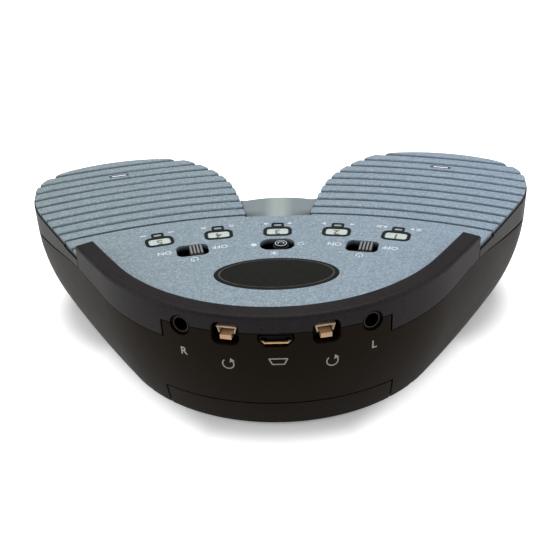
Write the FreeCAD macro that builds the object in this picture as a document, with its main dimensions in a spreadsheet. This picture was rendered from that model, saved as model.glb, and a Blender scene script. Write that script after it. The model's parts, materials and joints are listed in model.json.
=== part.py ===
import FreeCAD, Part
import math
import os
import Sketcher

# Page turner pedal: two ribbed treads on one hinge rod, in front of a round console with its ports
# in the rear wall. Millimetres, Z up, floor at Z = 0, user at -Y, ports at +Y.

# Driving dimensions, each written once. Lengths are in millimetres, names ending in turn, angle or
# stroke_angle are degrees. Depths are measured down from the deck, the console's grey top face.
SIZES = {
    # half of the side wall's outline, as tangent arcs from the rear centre round to the notch
    "rear_radius": 54.4,
    "rear_turn": 54.5,
    "flank_radius": 544.4,
    "flank_turn": 5.1,
    "shoulder_radius": 40.4,
    "shoulder_turn": 23.9,
    "corner_radius": 17.6,
    "corner_turn": 62.5,
    "front_radius": 49.0,
    "front_turn": 37.6,
    "inner_corner_radius": 16.1,
    "inner_corner_turn": 34.4,
    "inner_flank_radius": 45.7,
    "inner_flank_turn": 40.4,
    "notch_run": 1.0,
    "notch_fillet_radius": 2.0,
    "nose_turn": 20.0,
    # levels and walls
    "foot_proud": 0.8,
    "case_depth": 34.2,
    "flat_depth": 8.2,
    "wall_curve_radius": 50.0,
    "case_wall": 2.6,
    "case_floor": 2.2,
    "skirt_wall": 1.8,
    "deck_edge_inset": 0.4,
    # seam between the upper parts and the lower case, as depths and distances from the rear wall
    "seam_port_depth": 2.8,
    "port_panel_half_width": 27.5,
    "seam_jog_depth": 7.4,
    "seam_jog_reach": 7.3,
    "seam_crest_depth": 4.2,
    "seam_crest_reach": 37.5,
    "seam_lobe_depth": 7.9,
    "seam_lobe_reach": 66.0,
    "seam_front_depth": 8.0,
    "seam_gap": 0.2,
    "lip_thickness": 1.2,
    "lip_height": 1.5,
    "lip_clearance": 0.4,
    # rim round the console
    "rim_width": 5.2,
    "rim_rear_height": 1.6,
    "rim_end_height": 2.9,
    "rim_end_run": 16.6,
    "rim_round": 1.0,
    "end_gap": 0.2,
    "ledge_width": 4.6,
    "ledge_thickness": 1.8,
    # grooves and plates
    "split_reach": 58.7,
    "split_radius": 126.9,
    "split_gap": 0.9,
    "groove_pitch": 5.3,
    "groove_count": 9,
    "groove_width": 2.6,
    "groove_neck": 1.24,
    "groove_shoulder": 0.13,
    "groove_depth": 1.1,
    "groove_margin": 3.9,
    "plate_thickness": 1.6,
    "plate_gap": 0.1,
    "tread_cap": 1.4,
    "tread_core": 1.2,
    "frame_plate": 2.0,
    "edge_round": 0.3,
    # hinge
    "hinge_reach": 43.3,
    "hinge_depth": 11.6,
    "rod_radius": 1.5,
    "eye_wall": 1.6,
    "rod_fit": 0.02,
    "lug_fit": 0.05,
    "post_inner": 8.7,
    "post_outer": 49.6,
    "post_thickness": 3.0,
    "post_half_depth": 3.0,
    "post_head": 3.5,
    "lug_thickness": 3.0,
    "lug_gap": 0.3,
    "stroke_angle": 1.0,
    # return springs, pedal switches and stops, measured from the hinge towards the user
    "spring_side": 40.0,
    "spring_forward": 38.0,
    "spring_radius": 2.6,
    "spring_wire": 0.6,
    "spring_turns": 7,
    "spring_post_depth": 18.8,
    "spring_post_radius": 4.0,
    "switch_side": 46.0,
    "switch_forward": 46.0,
    "switch_post_depth": 13.0,
    "switch_post_radius": 4.3,
    "switch_board_width": 8.6,
    "switch_body": 6.2,
    "switch_body_height": 3.4,
    "plunger_radius": 1.7,
    "plunger_proud": 1.0,
    "plunger_inside": 1.0,
    "plunger_well": 2.0,
    "actuator_gap": 0.1,
    "stop_side": 53.0,
    "stop_forward": 30.0,
    "stop_radius": 3.0,
    "stop_height": 2.0,
    "stop_clearance": 0.1,
    # battery bay and door
    "door_half_width": 28.9,
    "door_top_depth": 24.9,
    "door_reach": 42.0,
    "door_gap": 0.4,
    "door_thickness": 2.2,
    "door_tongue": 0.8,
    "bay_half_width": 28.6,
    "bay_front": 42.2,
    "bay_clearance": 0.3,
    "bay_wall": 1.5,
    "cell_radius": 7.25,
    "cell_length": 49.5,
    "cell_button_radius": 2.75,
    "cell_button_height": 1.0,
    "cell_rear_reach": 19.8,
    "cell_spacing": 14.8,
    "cell_lift": 0.2,
    "contact_thickness": 0.4,
    "contact_width": 7.2,
    "cone_base": 2.5,
    "cone_tip": 1.1,
    # board and ports
    "board_depth": 6.0,
    "board_thickness": 1.6,
    "board_half_width": 36.0,
    "board_margin": 3.5,
    "tongue_half_width": 6.0,
    "tongue_reach": 66.0,
    "board_edge_gap": 0.5,
    "board_post_side": 27.0,
    "board_post_rear": 15.5,
    "board_post_front": 49.5,
    "board_post_radius": 2.8,
    "board_screw_radius": 0.84,
    "chip_reach": 28.0,
    "controller_chip_width": 9.0,
    "controller_chip_length": 9.0,
    "controller_chip_height": 1.4,
    "controller_chip_side": -6.0,
    "radio_module_width": 12.0,
    "radio_module_length": 9.0,
    "radio_module_height": 1.8,
    "radio_module_side": 9.0,
    "jack_side": 22.8,
    "jack_depth": 3.1,
    "jack_bore": 1.8,
    "jack_bush": 2.55,
    "jack_opening": 2.75,
    "jack_length": 14.0,
    "jack_width": 6.4,
    "jack_above": 2.2,
    "reset_side": 11.9,
    "reset_depth": 3.45,
    "reset_width": 6.8,
    "reset_height": 6.2,
    "reset_recess": 0.7,
    "reset_body_width": 5.0,
    "reset_body_depth": 3.5,
    "reset_body_height": 2.6,
    "reset_travel": 0.4,
    "reset_button_width": 2.8,
    "reset_button_height": 1.2,
    "usb_width": 7.8,
    "usb_height": 2.2,
    "usb_length": 5.6,
    "usb_tongue_width": 4.3,
    "usb_tongue_height": 0.55,
    "usb_opening": 8.6,
    "usb_opening_height": 3.5,
    "port_recess": 0.6,
    "pocket_clearance": 0.3,
    # console controls, on arcs about the groove centre
    "window_inset": 11.55,
    "window_turn": 8.08,
    "window_width": 7.8,
    "window_height": 5.5,
    "window_frame": 0.9,
    "window_round": 1.8,
    "window_sink": 0.1,
    "tab_shift": 4.0,
    "tab_width": 3.4,
    "tab_height": 2.6,
    "tab_frame": 0.6,
    "bezel_proud": 0.1,
    "control_spacing": 7.65,
    "control_turn": 12.1,
    "slot_width": 8.6,
    "slot_height": 6.4,
    "slot_round": 1.8,
    "light_slot_width": 9.3,
    "light_slot_round": 2.7,
    "light_knob_radius": 2.1,
    "knob_width": 3.7,
    "knob_height": 4.6,
    "knob_stem": 2.5,
    "knob_travel": 2.0,
    "knob_sink": 0.4,
    "knob_proud": 0.3,
    "knob_ridges": 4,
    "slide_can_width": 9.0,
    "slide_can_height": 4.6,
    "slide_can_tall": 3.4,
    "badge_reach": 23.4,
    "badge_width": 31.8,
    "badge_height": 16.5,
    "badge_thickness": 0.9,
    "badge_seat": 0.8,
    # lens in the notch
    "lens_near_depth": 1.0,
    "lens_far_depth": 1.2,
    "lens_tail": 1.6,
    "lens_tail_half_width": 9.6,
    "lens_gap": 0.4,
    "lamp_length": 3.5,
    "lamp_width": 2.8,
    "lamp_height": 1.2,
    "led_length": 1.6,
    "led_width": 0.8,
    "led_height": 0.7,
    # feet and screws
    "foot_radius": 5.0,
    "foot_thickness": 1.8,
    "rear_foot_side": 37.0,
    "rear_foot_reach": 34.0,
    "front_foot_side": 50.0,
    "front_foot_reach": 84.0,
    "screw_head_radius": 2.2,
    "screw_head_height": 1.6,
    "screw_shank_radius": 1.2,
    "screw_thread_radius": 0.96,
    "driver_slot_length": 2.6,
    "driver_slot_width": 0.5,
    "screw_length": 10.0,
    "rear_screw_side": 33.2,
    "rear_screw_reach": 23.6,
    "front_screw_side": 38.0,
    "front_screw_reach": 48.6,
    "boss_radius": 3.0,
    "boss_split": 20.0,
    "running_gap": 0.3,
}

# number of steps of the curved wall, ends included
WALL_SECTIONS = 4
SIDES = {"right": 1, "left": -1}
X_AXIS = FreeCAD.Vector(1, 0, 0)
Y_AXIS = FreeCAD.Vector(0, 1, 0)
Z_AXIS = FreeCAD.Vector(0, 0, 1)
ORIGIN = FreeCAD.Vector(0, 0, 0)
FAR = 200.0
OVERSHOOT = 1.0
RIGHT_ANGLE = 90.0
# points on each arc of a wound wire at which its gap to itself is measured
ARC_POINTS = 6

doc = FreeCAD.newDocument("page_turner_pedal")
sheet = doc.addObject("Spreadsheet::Sheet", "Sizes")


def fill_sheet():
    """Writes each driving dimension into a cell of its own with its name as alias."""
    for row, (alias, value) in enumerate(SIZES.items(), start=1):
        sheet.set(f"A{row}", alias)
        sheet.set(f"B{row}", str(value))
        sheet.setAlias(f"B{row}", alias)
    doc.recompute()


fill_sheet()


class Numbers:
    """The sheet's cells as plain numbers, read by their aliases."""

    def __getattr__(self, alias):
        return float(sheet.get(alias))


class Size:
    """A length or angle: its value now and the expression that ties it to the sheet."""

    def __init__(self, value, text):
        self.value = float(value)
        self.text = text

    @staticmethod
    def of(other):
        """Turns a plain number into a size."""
        return other if isinstance(other, Size) else Size(other, repr(float(other)))

    def __add__(self, other):
        other = Size.of(other)
        return Size(self.value + other.value, f"({self.text} + {other.text})")

    def __sub__(self, other):
        other = Size.of(other)
        return Size(self.value - other.value, f"({self.text} - {other.text})")

    def __mul__(self, other):
        other = Size.of(other)
        return Size(self.value * other.value, f"({self.text} * {other.text})")

    def __truediv__(self, other):
        other = Size.of(other)
        return Size(self.value / other.value, f"({self.text} / {other.text})")

    def __neg__(self):
        return Size(-self.value, f"(0 - {self.text})")

    __radd__ = __add__

    def __rsub__(self, other):
        return Size.of(other) - self


class Sizes:
    """The sheet's cells as sizes, read by their aliases."""

    def __getattr__(self, alias):
        return Size(float(sheet.get(alias)), f"{sheet.Name}.{alias}")


n = Numbers()
d = Sizes()


def sine(angle):
    """Sine of a size in degrees."""
    return Size(math.sin(math.radians(angle.value)), f"sin({angle.text})")


def cosine(angle):
    """Cosine of a size in degrees."""
    return Size(math.cos(math.radians(angle.value)), f"cos({angle.text})")


# Outline of the side wall

def advance(point, heading, radius, turn):
    """Follows an arc that turns by the angle; a heading of 90 points to +X and of 0 to the user."""
    chord = 2 * radius * math.sin(math.radians(turn) / 2)
    middle = math.radians(heading - turn / 2)
    return FreeCAD.Vector(point.x + chord * math.sin(middle), point.y - chord * math.cos(middle), point.z)


def along(point, heading, run):
    """Moves a point straight on."""
    angle = math.radians(heading)
    return FreeCAD.Vector(point.x + run * math.sin(angle), point.y - run * math.cos(angle), point.z)


def outline_arcs():
    """Radius and turn of each arc of the right half, from the rear centre to the notch."""
    names = ("rear", "flank", "shoulder", "corner", "front", "inner_corner", "inner_flank")
    return [(getattr(n, f"{name}_radius"), getattr(n, f"{name}_turn")) for name in names]


def fillet_turn():
    """Angle of the hollow corner between the lobe's inner flank and the nose."""
    turned = sum(turn for _, turn in outline_arcs())
    return turned - 180.0 + n.nose_turn


def half_outline(inset, rear_y, level=0.0):
    """Right half of the outline, moved inwards by the inset: a list of edges, rear to nose."""
    point = FreeCAD.Vector(0, rear_y - inset, level)
    heading = 90.0
    edges = []
    for radius, turn in outline_arcs():
        middle = advance(point, heading, radius - inset, turn / 2)
        end = advance(point, heading, radius - inset, turn)
        edges.append(Part.Arc(point, middle, end).toShape())
        point = end
        heading -= turn
    end = along(point, heading, n.notch_run)
    edges.append(Part.makeLine(point, end))
    point = end
    hollow = -(n.notch_fillet_radius + inset)
    for radius, turn in ((hollow, -fillet_turn()), (None, n.nose_turn)):
        if radius is None:
            radius = point.x / math.sin(math.radians(n.nose_turn))
        middle = advance(point, heading, radius, turn / 2)
        end = advance(point, heading, radius, turn)
        if turn > 0:
            end = FreeCAD.Vector(0, end.y, level)
        edges.append(Part.Arc(point, middle, end).toShape())
        point = end
        heading -= turn
    return edges


def front_reach():
    """Distance from the rear wall to the foremost point of the lobes."""
    point = ORIGIN
    heading = 90.0
    reach = 0.0
    for radius, turn in outline_arcs():
        if heading > -90.0 >= heading - turn:
            reach = max(reach, -advance(point, heading, radius, heading + 90.0).y)
        point = advance(point, heading, radius, turn)
        reach = max(reach, -point.y)
        heading -= turn
    return reach


REAR_Y = front_reach() / 2
BOTTOM_Z = n.foot_proud
DECK_Z = n.foot_proud + n.case_depth
FLOOR_Z = BOTTOM_Z + n.case_floor
BOARD_Z = DECK_Z - n.board_depth
CELL_Z = FLOOR_Z + n.cell_lift + n.cell_radius
DECK = d.foot_proud + d.case_depth
REAR = Size(REAR_Y, repr(REAR_Y))


def at_reach(reach):
    """Y of a place at a distance from the rear wall; works for numbers and sizes."""
    return REAR - reach if isinstance(reach, Size) else REAR_Y - reach


GROOVE_Y = at_reach(n.split_reach) + n.split_radius
RESET_FRONT = d.case_wall + d.reset_recess
SOCKET_DEPTH = d.board_depth - d.usb_height / 2
WINDOW_RADIUS = d.split_radius - d.window_inset
CONTROL_RADIUS = WINDOW_RADIUS - d.control_spacing
BOARD_FRONT = at_reach(n.board_post_front + n.board_margin)
HINGE_Y = at_reach(n.hinge_reach)
HINGE_Z = DECK_Z - n.hinge_depth


def outline_wire(inset, level):
    """Closed outline at a level."""
    right = half_outline(inset, REAR_Y, level)
    left = [edge.mirror(ORIGIN, X_AXIS) for edge in right]
    return Part.Wire(Part.__sortEdges__(right + left))


def prism(inset, low, high):
    """Upright solid inside the outline between two levels."""
    face = Part.Face(outline_wire(inset, low))
    return face.extrude(Z_AXIS * (high - low))


def ring(outer, inner, low, high):
    """Upright wall between two insets."""
    return prism(outer, low, high).cut(prism(inner, low, high))


def envelope(inset):
    """Whole body of the case inside an inset: straight at the top, drawn in along an arc below."""
    flat_z = DECK_Z - n.flat_depth
    fall = flat_z - BOTTOM_Z
    sections = []
    for step in range(WALL_SECTIONS):
        drop = fall * step / (WALL_SECTIONS - 1)
        draw = drop * drop / (2 * n.wall_curve_radius)
        sections.append(outline_wire(inset + draw, flat_z - drop))
    lower = Part.makeLoft(sections, True, False)
    upper = prism(inset, flat_z, DECK_Z + 2 * n.rim_end_height)
    return upper.fuse(lower)


def slab(low, high):
    """Everything between two levels."""
    return block((-FAR, -FAR, low), (FAR, FAR, high))


def block(low, high):
    """Box between two corners."""
    size = [b - a for a, b in zip(low, high)]
    return Part.makeBox(*size, FreeCAD.Vector(*low))


def drum(radius, low, high, x=0.0, y=0.0):
    """Upright cylinder."""
    return Part.makeCylinder(radius, high - low, FreeCAD.Vector(x, y, low))


def side_profile(points):
    """Solid with a profile in Y and Z that runs right through along X; the first run is a curve."""
    curve, corners = points
    spline = Part.BSplineCurve()
    spline.interpolate([FreeCAD.Vector(-FAR, y, z) for y, z in curve])
    edges = [spline.toShape()]
    chain = [curve[-1]] + corners + [curve[0]]
    for a, b in zip(chain[:-1], chain[1:]):
        edges.append(Part.makeLine(FreeCAD.Vector(-FAR, *a), FreeCAD.Vector(-FAR, *b)))
    return Part.Face(Part.Wire(edges)).extrude(X_AXIS * (2 * FAR))


def seam_curve(sink):
    """Points of the side seam, lowered by a function of the distance from the rear wall."""
    slope = (n.seam_jog_depth - n.seam_crest_depth) / (n.seam_crest_reach - n.seam_jog_reach)
    start = -n.corner_radius
    middle = (n.seam_crest_reach + n.seam_lobe_reach) / 2
    run = [
        (start, n.seam_jog_depth + slope * (n.seam_jog_reach - start)),
        (n.seam_jog_reach, n.seam_jog_depth),
        ((n.seam_jog_reach + n.seam_crest_reach) / 2, (n.seam_jog_depth + n.seam_crest_depth) / 2),
        (n.seam_crest_reach, n.seam_crest_depth),
        (middle, (n.seam_crest_depth + n.seam_lobe_depth) / 2),
        (n.seam_lobe_reach, n.seam_lobe_depth),
        (2 * REAR_Y + n.corner_radius, n.seam_front_depth),
    ]
    return [(at_reach(reach), DECK_Z - depth - sink(reach)) for reach, depth in run]


def pedal_sink(reach):
    """Gap under the pedal's skirt, which grows with the distance from the hinge."""
    beyond = max(0.0, reach - n.hinge_reach)
    return n.seam_gap + (math.tan(math.radians(n.stroke_angle)) * beyond + n.running_gap / 2) * (beyond > 0)


def above_seam(sink):
    """Everything above the side seam."""
    curve = seam_curve(sink)
    return side_profile((curve, [(curve[-1][0], FAR), (curve[0][0], FAR)]))


def below_seam(sink):
    """Everything below the side seam."""
    curve = seam_curve(sink)
    return side_profile((curve, [(curve[-1][0], -FAR), (curve[0][0], -FAR)]))


def port_panel(grow, low, high):
    """Box round the rear panel that holds the ports."""
    half = n.port_panel_half_width + grow
    return block((-half, at_reach(n.rear_radius / 2), low), (half, REAR_Y + FAR, high))


def rear_zone(shift):
    """Everything behind the rim's two ends, moved by the shift along the flank."""
    start = advance(ORIGIN, 90.0, n.rear_radius, n.rear_turn)
    heading = 90.0 - n.rear_turn
    turned = math.degrees(n.rim_end_run / n.flank_radius)
    end = advance(start, heading, n.flank_radius, turned)
    heading -= turned
    end = along(FreeCAD.Vector(end.x, end.y + REAR_Y, -FAR), heading, shift)
    outward = along(end, heading + 90.0, FAR)
    inward = along(end, heading + 90.0, -end.x / math.cos(math.radians(heading)))
    right = [inward, outward, FreeCAD.Vector(outward.x, REAR_Y + FAR, -FAR)]
    left = [FreeCAD.Vector(-p.x, p.y, p.z) for p in (right[2], right[1])]
    corners = right + left
    face = Part.Face(Part.makePolygon(corners + [corners[0]]))
    return face.extrude(Z_AXIS * (2 * FAR))


def split_disc(radius, low=-FAR, high=FAR):
    """Disc about the centre of the grooves."""
    return Part.makeCylinder(radius, high - low, FreeCAD.Vector(0, GROOVE_Y, low))


def inner_side(side, shift):
    """Everything on one side of the line that carries a lobe's inner flank on to the console."""
    edges = half_outline(0.0, REAR_Y, -FAR)
    run = edges[len(outline_arcs())]
    start, end = run.Vertexes[0].Point, run.Vertexes[1].Point
    if start.y > end.y:
        start, end = end, start
    way = (end - start).normalize()
    outward = FreeCAD.Vector(way.y, -way.x, 0)
    base = start + outward * shift
    corners = [base - way * FAR, base + way * FAR]
    corners += [corner + outward * FAR for corner in reversed(corners)]
    solid = Part.Face(Part.makePolygon(corners + [corners[0]])).extrude(Z_AXIS * (2 * FAR))
    return solid if side > 0 else solid.mirror(ORIGIN, X_AXIS)


def soften(shape, radius, test):
    """Rounds the edges that pass a test."""
    chosen = [edge for edge in shape.Edges if test(edge)]
    return shape.makeFillet(radius, chosen)


def above(level):
    """Test for edges that lie above a level."""
    return lambda edge: edge.BoundBox.ZMin > level


def arc_edge(level, radius):
    """Test for edges that run along an arc of a radius at one height."""
    flat = at_level(level)
    return lambda edge: flat(edge) and getattr(edge.Curve, "Radius", 0.0) > radius - 1e-3


# Document objects

def feature(label, shape):
    """Part::Feature for a piece whose walls follow the curved outline."""
    piece = doc.addObject("Part::Feature", label)
    piece.Shape = shape
    piece.Label = label
    return piece


def bind(target, path, size):
    """Ties a property to the sheet."""
    target.setExpression(path, Size.of(size).text)


def place(piece, x=0.0, y=0.0, z=0.0, turn=None, axis=Z_AXIS):
    """Ties a piece's place, and its turn about an axis, to the sheet."""
    angle = 0.0 if turn is None else Size.of(turn).value
    base = FreeCAD.Vector(Size.of(x).value, Size.of(y).value, Size.of(z).value)
    piece.Placement = FreeCAD.Placement(base, FreeCAD.Rotation(axis, angle))
    for name, size in zip("xyz", (x, y, z)):
        bind(piece, f"Placement.Base.{name}", size)
    if isinstance(turn, Size):
        bind(piece, "Placement.Rotation.Angle", turn)
    return piece


class Builder:
    """A PartDesign body and the steps that shape it; profiles are bound point by point."""

    def __init__(self, label):
        self.body = doc.addObject("PartDesign::Body", label)
        self.body.Label = label
        self.label = label
        self.steps = 0

    def plane(self, role):
        """Origin plane with the given role."""
        return next(item for item in self.body.Origin.OriginFeatures if item.Role == role)

    def sketch(self, role="XY_Plane", level=None):
        """New sketch on an origin plane, lifted to a level."""
        self.steps += 1
        item = self.body.newObject("Sketcher::SketchObject", f"{self.label}_sketch_{self.steps}")
        item.AttachmentSupport = [(self.plane(role), "")]
        item.MapMode = "FlatFace"
        if level is not None:
            level = Size.of(level)
            item.AttachmentOffset = FreeCAD.Placement(FreeCAD.Vector(0, 0, level.value), FreeCAD.Rotation())
            bind(item, "AttachmentOffset.Base.z", level)
        return item

    @staticmethod
    def pin(sketch, index, end, x, y):
        """Holds a sketch point at two sizes, or on an axis where a size is nought."""
        for size, kind, axis in ((Size.of(x), "DistanceX", -2), (Size.of(y), "DistanceY", -1)):
            if abs(size.value) < 1e-9:
                sketch.addConstraint(Sketcher.Constraint("PointOnObject", index, end, axis))
            else:
                number = sketch.addConstraint(Sketcher.Constraint(kind, -1, 1, index, end, size.value))
                sketch.setExpression(f"Constraints[{number}]", size.text)

    def polygon(self, sketch, points):
        """Closed straight-sided profile."""
        corners = [FreeCAD.Vector(Size.of(x).value, Size.of(y).value, 0) for x, y in points]
        first = sketch.GeometryCount
        count = len(points)
        for i in range(count):
            sketch.addGeometry(Part.LineSegment(corners[i], corners[(i + 1) % count]), False)
        for i in range(count):
            following = first + (i + 1) % count
            sketch.addConstraint(Sketcher.Constraint("Coincident", first + i, 2, following, 1))
        for i, (x, y) in enumerate(points):
            self.pin(sketch, first + i, 1, x, y)
        return sketch

    def rectangle(self, sketch, width, height, x=0.0, y=0.0):
        """Rectangle about a centre."""
        half_w, half_h = Size.of(width) / 2, Size.of(height) / 2
        x, y = Size.of(x), Size.of(y)
        low = [(x - half_w, y - half_h), (x + half_w, y - half_h)]
        high = [(x + half_w, y + half_h), (x - half_w, y + half_h)]
        return self.polygon(sketch, low + high)

    def circle(self, sketch, radius, x=0.0, y=0.0):
        """Circle about a centre."""
        x, y, radius = Size.of(x), Size.of(y), Size.of(radius)
        round_edge = Part.Circle(FreeCAD.Vector(x.value, y.value, 0), Z_AXIS, radius.value)
        index = sketch.addGeometry(round_edge, False)
        number = sketch.addConstraint(Sketcher.Constraint("Radius", index, radius.value))
        sketch.setExpression(f"Constraints[{number}]", radius.text)
        self.pin(sketch, index, 3, x, y)
        return sketch

    def step(self, kind, sketch, **values):
        """Adds a sketch-based feature with its sizes tied to the sheet."""
        self.steps += 1
        item = self.body.newObject(f"PartDesign::{kind}", f"{self.label}_{kind.lower()}_{self.steps}")
        item.Profile = sketch
        for name, value in values.items():
            if isinstance(value, (Size, float)):
                setattr(item, name, Size.of(value).value)
                bind(item, name, value)
            else:
                setattr(item, name, value)
        sketch.Visibility = False
        doc.recompute()
        return item

    def pad(self, sketch, length, **values):
        """Pad upwards from its sketch."""
        return self.step("Pad", sketch, Length=Size.of(length), **values)

    def pocket(self, sketch, depth, **values):
        """Pocket downwards from its sketch, with a test that it cuts."""
        before = self.body.Shape.Volume
        item = self.step("Pocket", sketch, Length=Size.of(depth), **values)
        if self.body.Shape.Volume >= before - 1e-6:
            raise RuntimeError(f"{self.label}: a pocket cuts nothing")
        return item

    def turned(self, points):
        """Full turn of a profile of radius and height about the upright axis."""
        sketch = self.polygon(self.sketch("XZ_Plane"), points)
        axis = (sketch, ["V_Axis"])
        return self.step("Revolution", sketch, ReferenceAxis=axis, Angle=360.0)

    def edges(self, test):
        """Names of the body's edges that pass a test."""
        return [f"Edge{i}" for i, edge in enumerate(self.body.Shape.Edges, start=1) if test(edge)]

    def dress(self, kind, size, test):
        """Fillet or Chamfer on the edges that pass a test."""
        names = self.edges(test)
        if not names:
            raise RuntimeError(f"{self.label}: no edge to {kind}")
        self.steps += 1
        base = self.body.Tip
        item = self.body.newObject(f"PartDesign::{kind}", f"{self.label}_{kind.lower()}_{self.steps}")
        item.Base = (base, names)
        field = "Radius" if kind == "Fillet" else "Size"
        setattr(item, field, Size.of(size).value)
        bind(item, field, size)
        doc.recompute()
        return item

    def pattern(self, feature_item, direction, spacing, count):
        """Row of copies of a feature."""
        self.steps += 1
        item = self.body.newObject("PartDesign::LinearPattern", f"{self.label}_row_{self.steps}")
        item.Originals = [feature_item]
        item.Direction = (self.plane(direction), [""])
        item.Occurrences = count
        item.Length = spacing.value * (count - 1)
        bind(item, "Length", spacing * (count - 1))
        self.body.Tip = item
        doc.recompute()
        return item


def upright(edge):
    """True for a straight edge along Z."""
    ends = [vertex.Point for vertex in edge.Vertexes]
    if len(ends) != 2 or edge.Curve.TypeId != "Part::GeomLine":
        return False
    return abs(ends[0].x - ends[1].x) < 1e-6 and abs(ends[0].y - ends[1].y) < 1e-6


def at_level(level):
    """Test for edges that lie at one height."""
    def test(edge):
        box = edge.BoundBox
        return abs(box.ZMin - level) < 1e-4 and abs(box.ZMax - level) < 1e-4
    return test


PIECES = []


def keep(piece):
    """Adds a finished piece to those that are written out."""
    PIECES.append(piece)
    return piece


# Ports in the rear wall: each sits at an angle round the console's rear arc

def port_angle(side_offset):
    """Angle of a port about the rear arc's centre, from its distance to the middle plane."""
    return math.degrees(math.asin(side_offset / n.rear_radius))


ARC_Y = at_reach(n.rear_radius)


def radial(shape, side_offset, depth):
    """Turns a shape from the port frame (outward is +Y, wall at Y = 0) to its place in the wall."""
    turn = port_angle(side_offset)
    placed = shape.copy()
    placed.translate(FreeCAD.Vector(0, n.rear_radius, DECK_Z - depth))
    placed.rotate(ORIGIN, Z_AXIS, -turn)
    placed.translate(FreeCAD.Vector(0, ARC_Y, 0))
    return placed


def port_cuts():
    """All openings of the rear wall with the pockets behind them, as one tool."""
    through = 3 * n.case_wall
    cuts = []
    pocket = n.pocket_clearance
    for side in SIDES.values():
        bush = Part.makeCylinder(n.jack_opening, through, FreeCAD.Vector(0, -through / 2, 0), Y_AXIS)
        half = n.jack_width / 2 + pocket
        top = n.jack_above + pocket / 2
        low = n.jack_depth - n.board_depth - pocket
        reach = n.case_wall + n.jack_length + 2 * pocket
        room = block((-half, -reach - pocket, low), (half, -n.case_wall, top))
        cuts.append(radial(bush.fuse(room), side * n.jack_side, n.jack_depth))
        opening = rounded_block(n.reset_width, n.reset_height, through, n.slot_round)
        half = n.reset_body_width / 2 + pocket
        reach = RESET_FRONT.value + n.reset_body_depth + 2 * pocket
        low = n.reset_depth - n.board_depth - pocket
        top = n.reset_depth - n.board_depth + n.reset_body_height + pocket / 2
        room = block((-half, -reach, low), (half, -n.skirt_wall, top))
        cuts.append(radial(opening.fuse(room), side * n.reset_side, n.reset_depth))
    half = n.usb_opening / 2
    tall = n.usb_opening_height / 2
    slope = tall / 2
    foot = half - 2 * slope
    corners = [(-half, tall), (half, tall), (half, 0), (foot, -tall), (-foot, -tall), (-half, 0)]
    points = [FreeCAD.Vector(x, -through / 2, z) for x, z in corners]
    usb = Part.Face(Part.makePolygon(points + [points[0]])).extrude(Y_AXIS * through)
    half = n.usb_width / 2 + pocket / 2
    tall = n.usb_height / 2 + pocket / 2
    room = block((-half, -n.port_recess - n.usb_length - pocket, -tall), (half, -n.port_recess, tall))
    cuts.append(radial(usb.fuse(room), 0.0, SOCKET_DEPTH.value))
    return cuts[0].multiFuse(cuts[1:])


def rounded_block(width, height, length, radius):
    """Block through the wall in the port frame with its long edges rounded."""
    body = block((-width / 2, -length / 2, -height / 2), (width / 2, length / 2, height / 2))
    long_edges = [edge for edge in body.Edges if abs(edge.tangentAt(edge.FirstParameter).y) > 0.99]
    return body.makeFillet(radius, long_edges)


PORT_CUTS = port_cuts()


# Places of the screws, feet and posts

def mirrored_places(side, reach):
    """A place and its mirror image."""
    return [(sign * side, at_reach(reach)) for sign in (1, -1)]


SCREW_PLACES = mirrored_places(n.rear_screw_side, n.rear_screw_reach)
SCREW_PLACES += mirrored_places(n.front_screw_side, n.front_screw_reach)
BOARD_PLACES = mirrored_places(n.board_post_side, n.board_post_rear)
BOARD_PLACES += mirrored_places(n.board_post_side, n.board_post_front)
FOOT_PLACES = {
    "rear_right": (n.rear_foot_side, at_reach(n.rear_foot_reach)),
    "rear_left": (-n.rear_foot_side, at_reach(n.rear_foot_reach)),
    "front_right": (n.front_foot_side, at_reach(n.front_foot_reach)),
    "front_left": (-n.front_foot_side, at_reach(n.front_foot_reach)),
}
FRAME_TOP = DECK_Z - n.tread_cap - n.tread_core
FRAME_BOTTOM = FRAME_TOP - n.frame_plate
BOARD_BOTTOM = BOARD_Z - n.board_thickness


def forward(distance):
    """Y of a place in front of the hinge."""
    return HINGE_Y - distance


def stroke_at(distance):
    """How far the pedal goes down at a distance in front of the hinge."""
    return math.radians(n.stroke_angle) * distance


def bay_top():
    """Level of the battery bay's ceiling."""
    return CELL_Z + n.cell_radius + n.bay_clearance


def battery_bay():
    """Space of the cells."""
    box = block((-n.bay_half_width, at_reach(n.bay_front), -FAR), (n.bay_half_width, REAR_Y, bay_top()))
    return box.common(envelope(n.case_wall))


def door_space():
    """Opening that the door fills, before its gap."""
    half = n.door_half_width
    return block((-half, at_reach(n.door_reach), -FAR), (half, REAR_Y + FAR, DECK_Z - n.door_top_depth))


def door_rail(grow):
    """Tongues on the door's sides; grown they are the grooves in the floor."""
    low = BOTTOM_Z + (n.case_floor - n.door_tongue) / 2
    rails = []
    for sign in (1, -1):
        near = n.door_half_width - n.door_gap
        ends = sorted((sign * near, sign * (n.door_half_width + n.door_tongue + grow)))
        corner = (ends[0], at_reach(n.door_reach), low - grow)
        rear = at_reach(n.rear_radius / 3) if grow == 0 else REAR_Y
        rails.append(block(corner, (ends[1], rear, low + n.door_tongue + grow)))
    return rails[0].fuse(rails[1])


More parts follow.
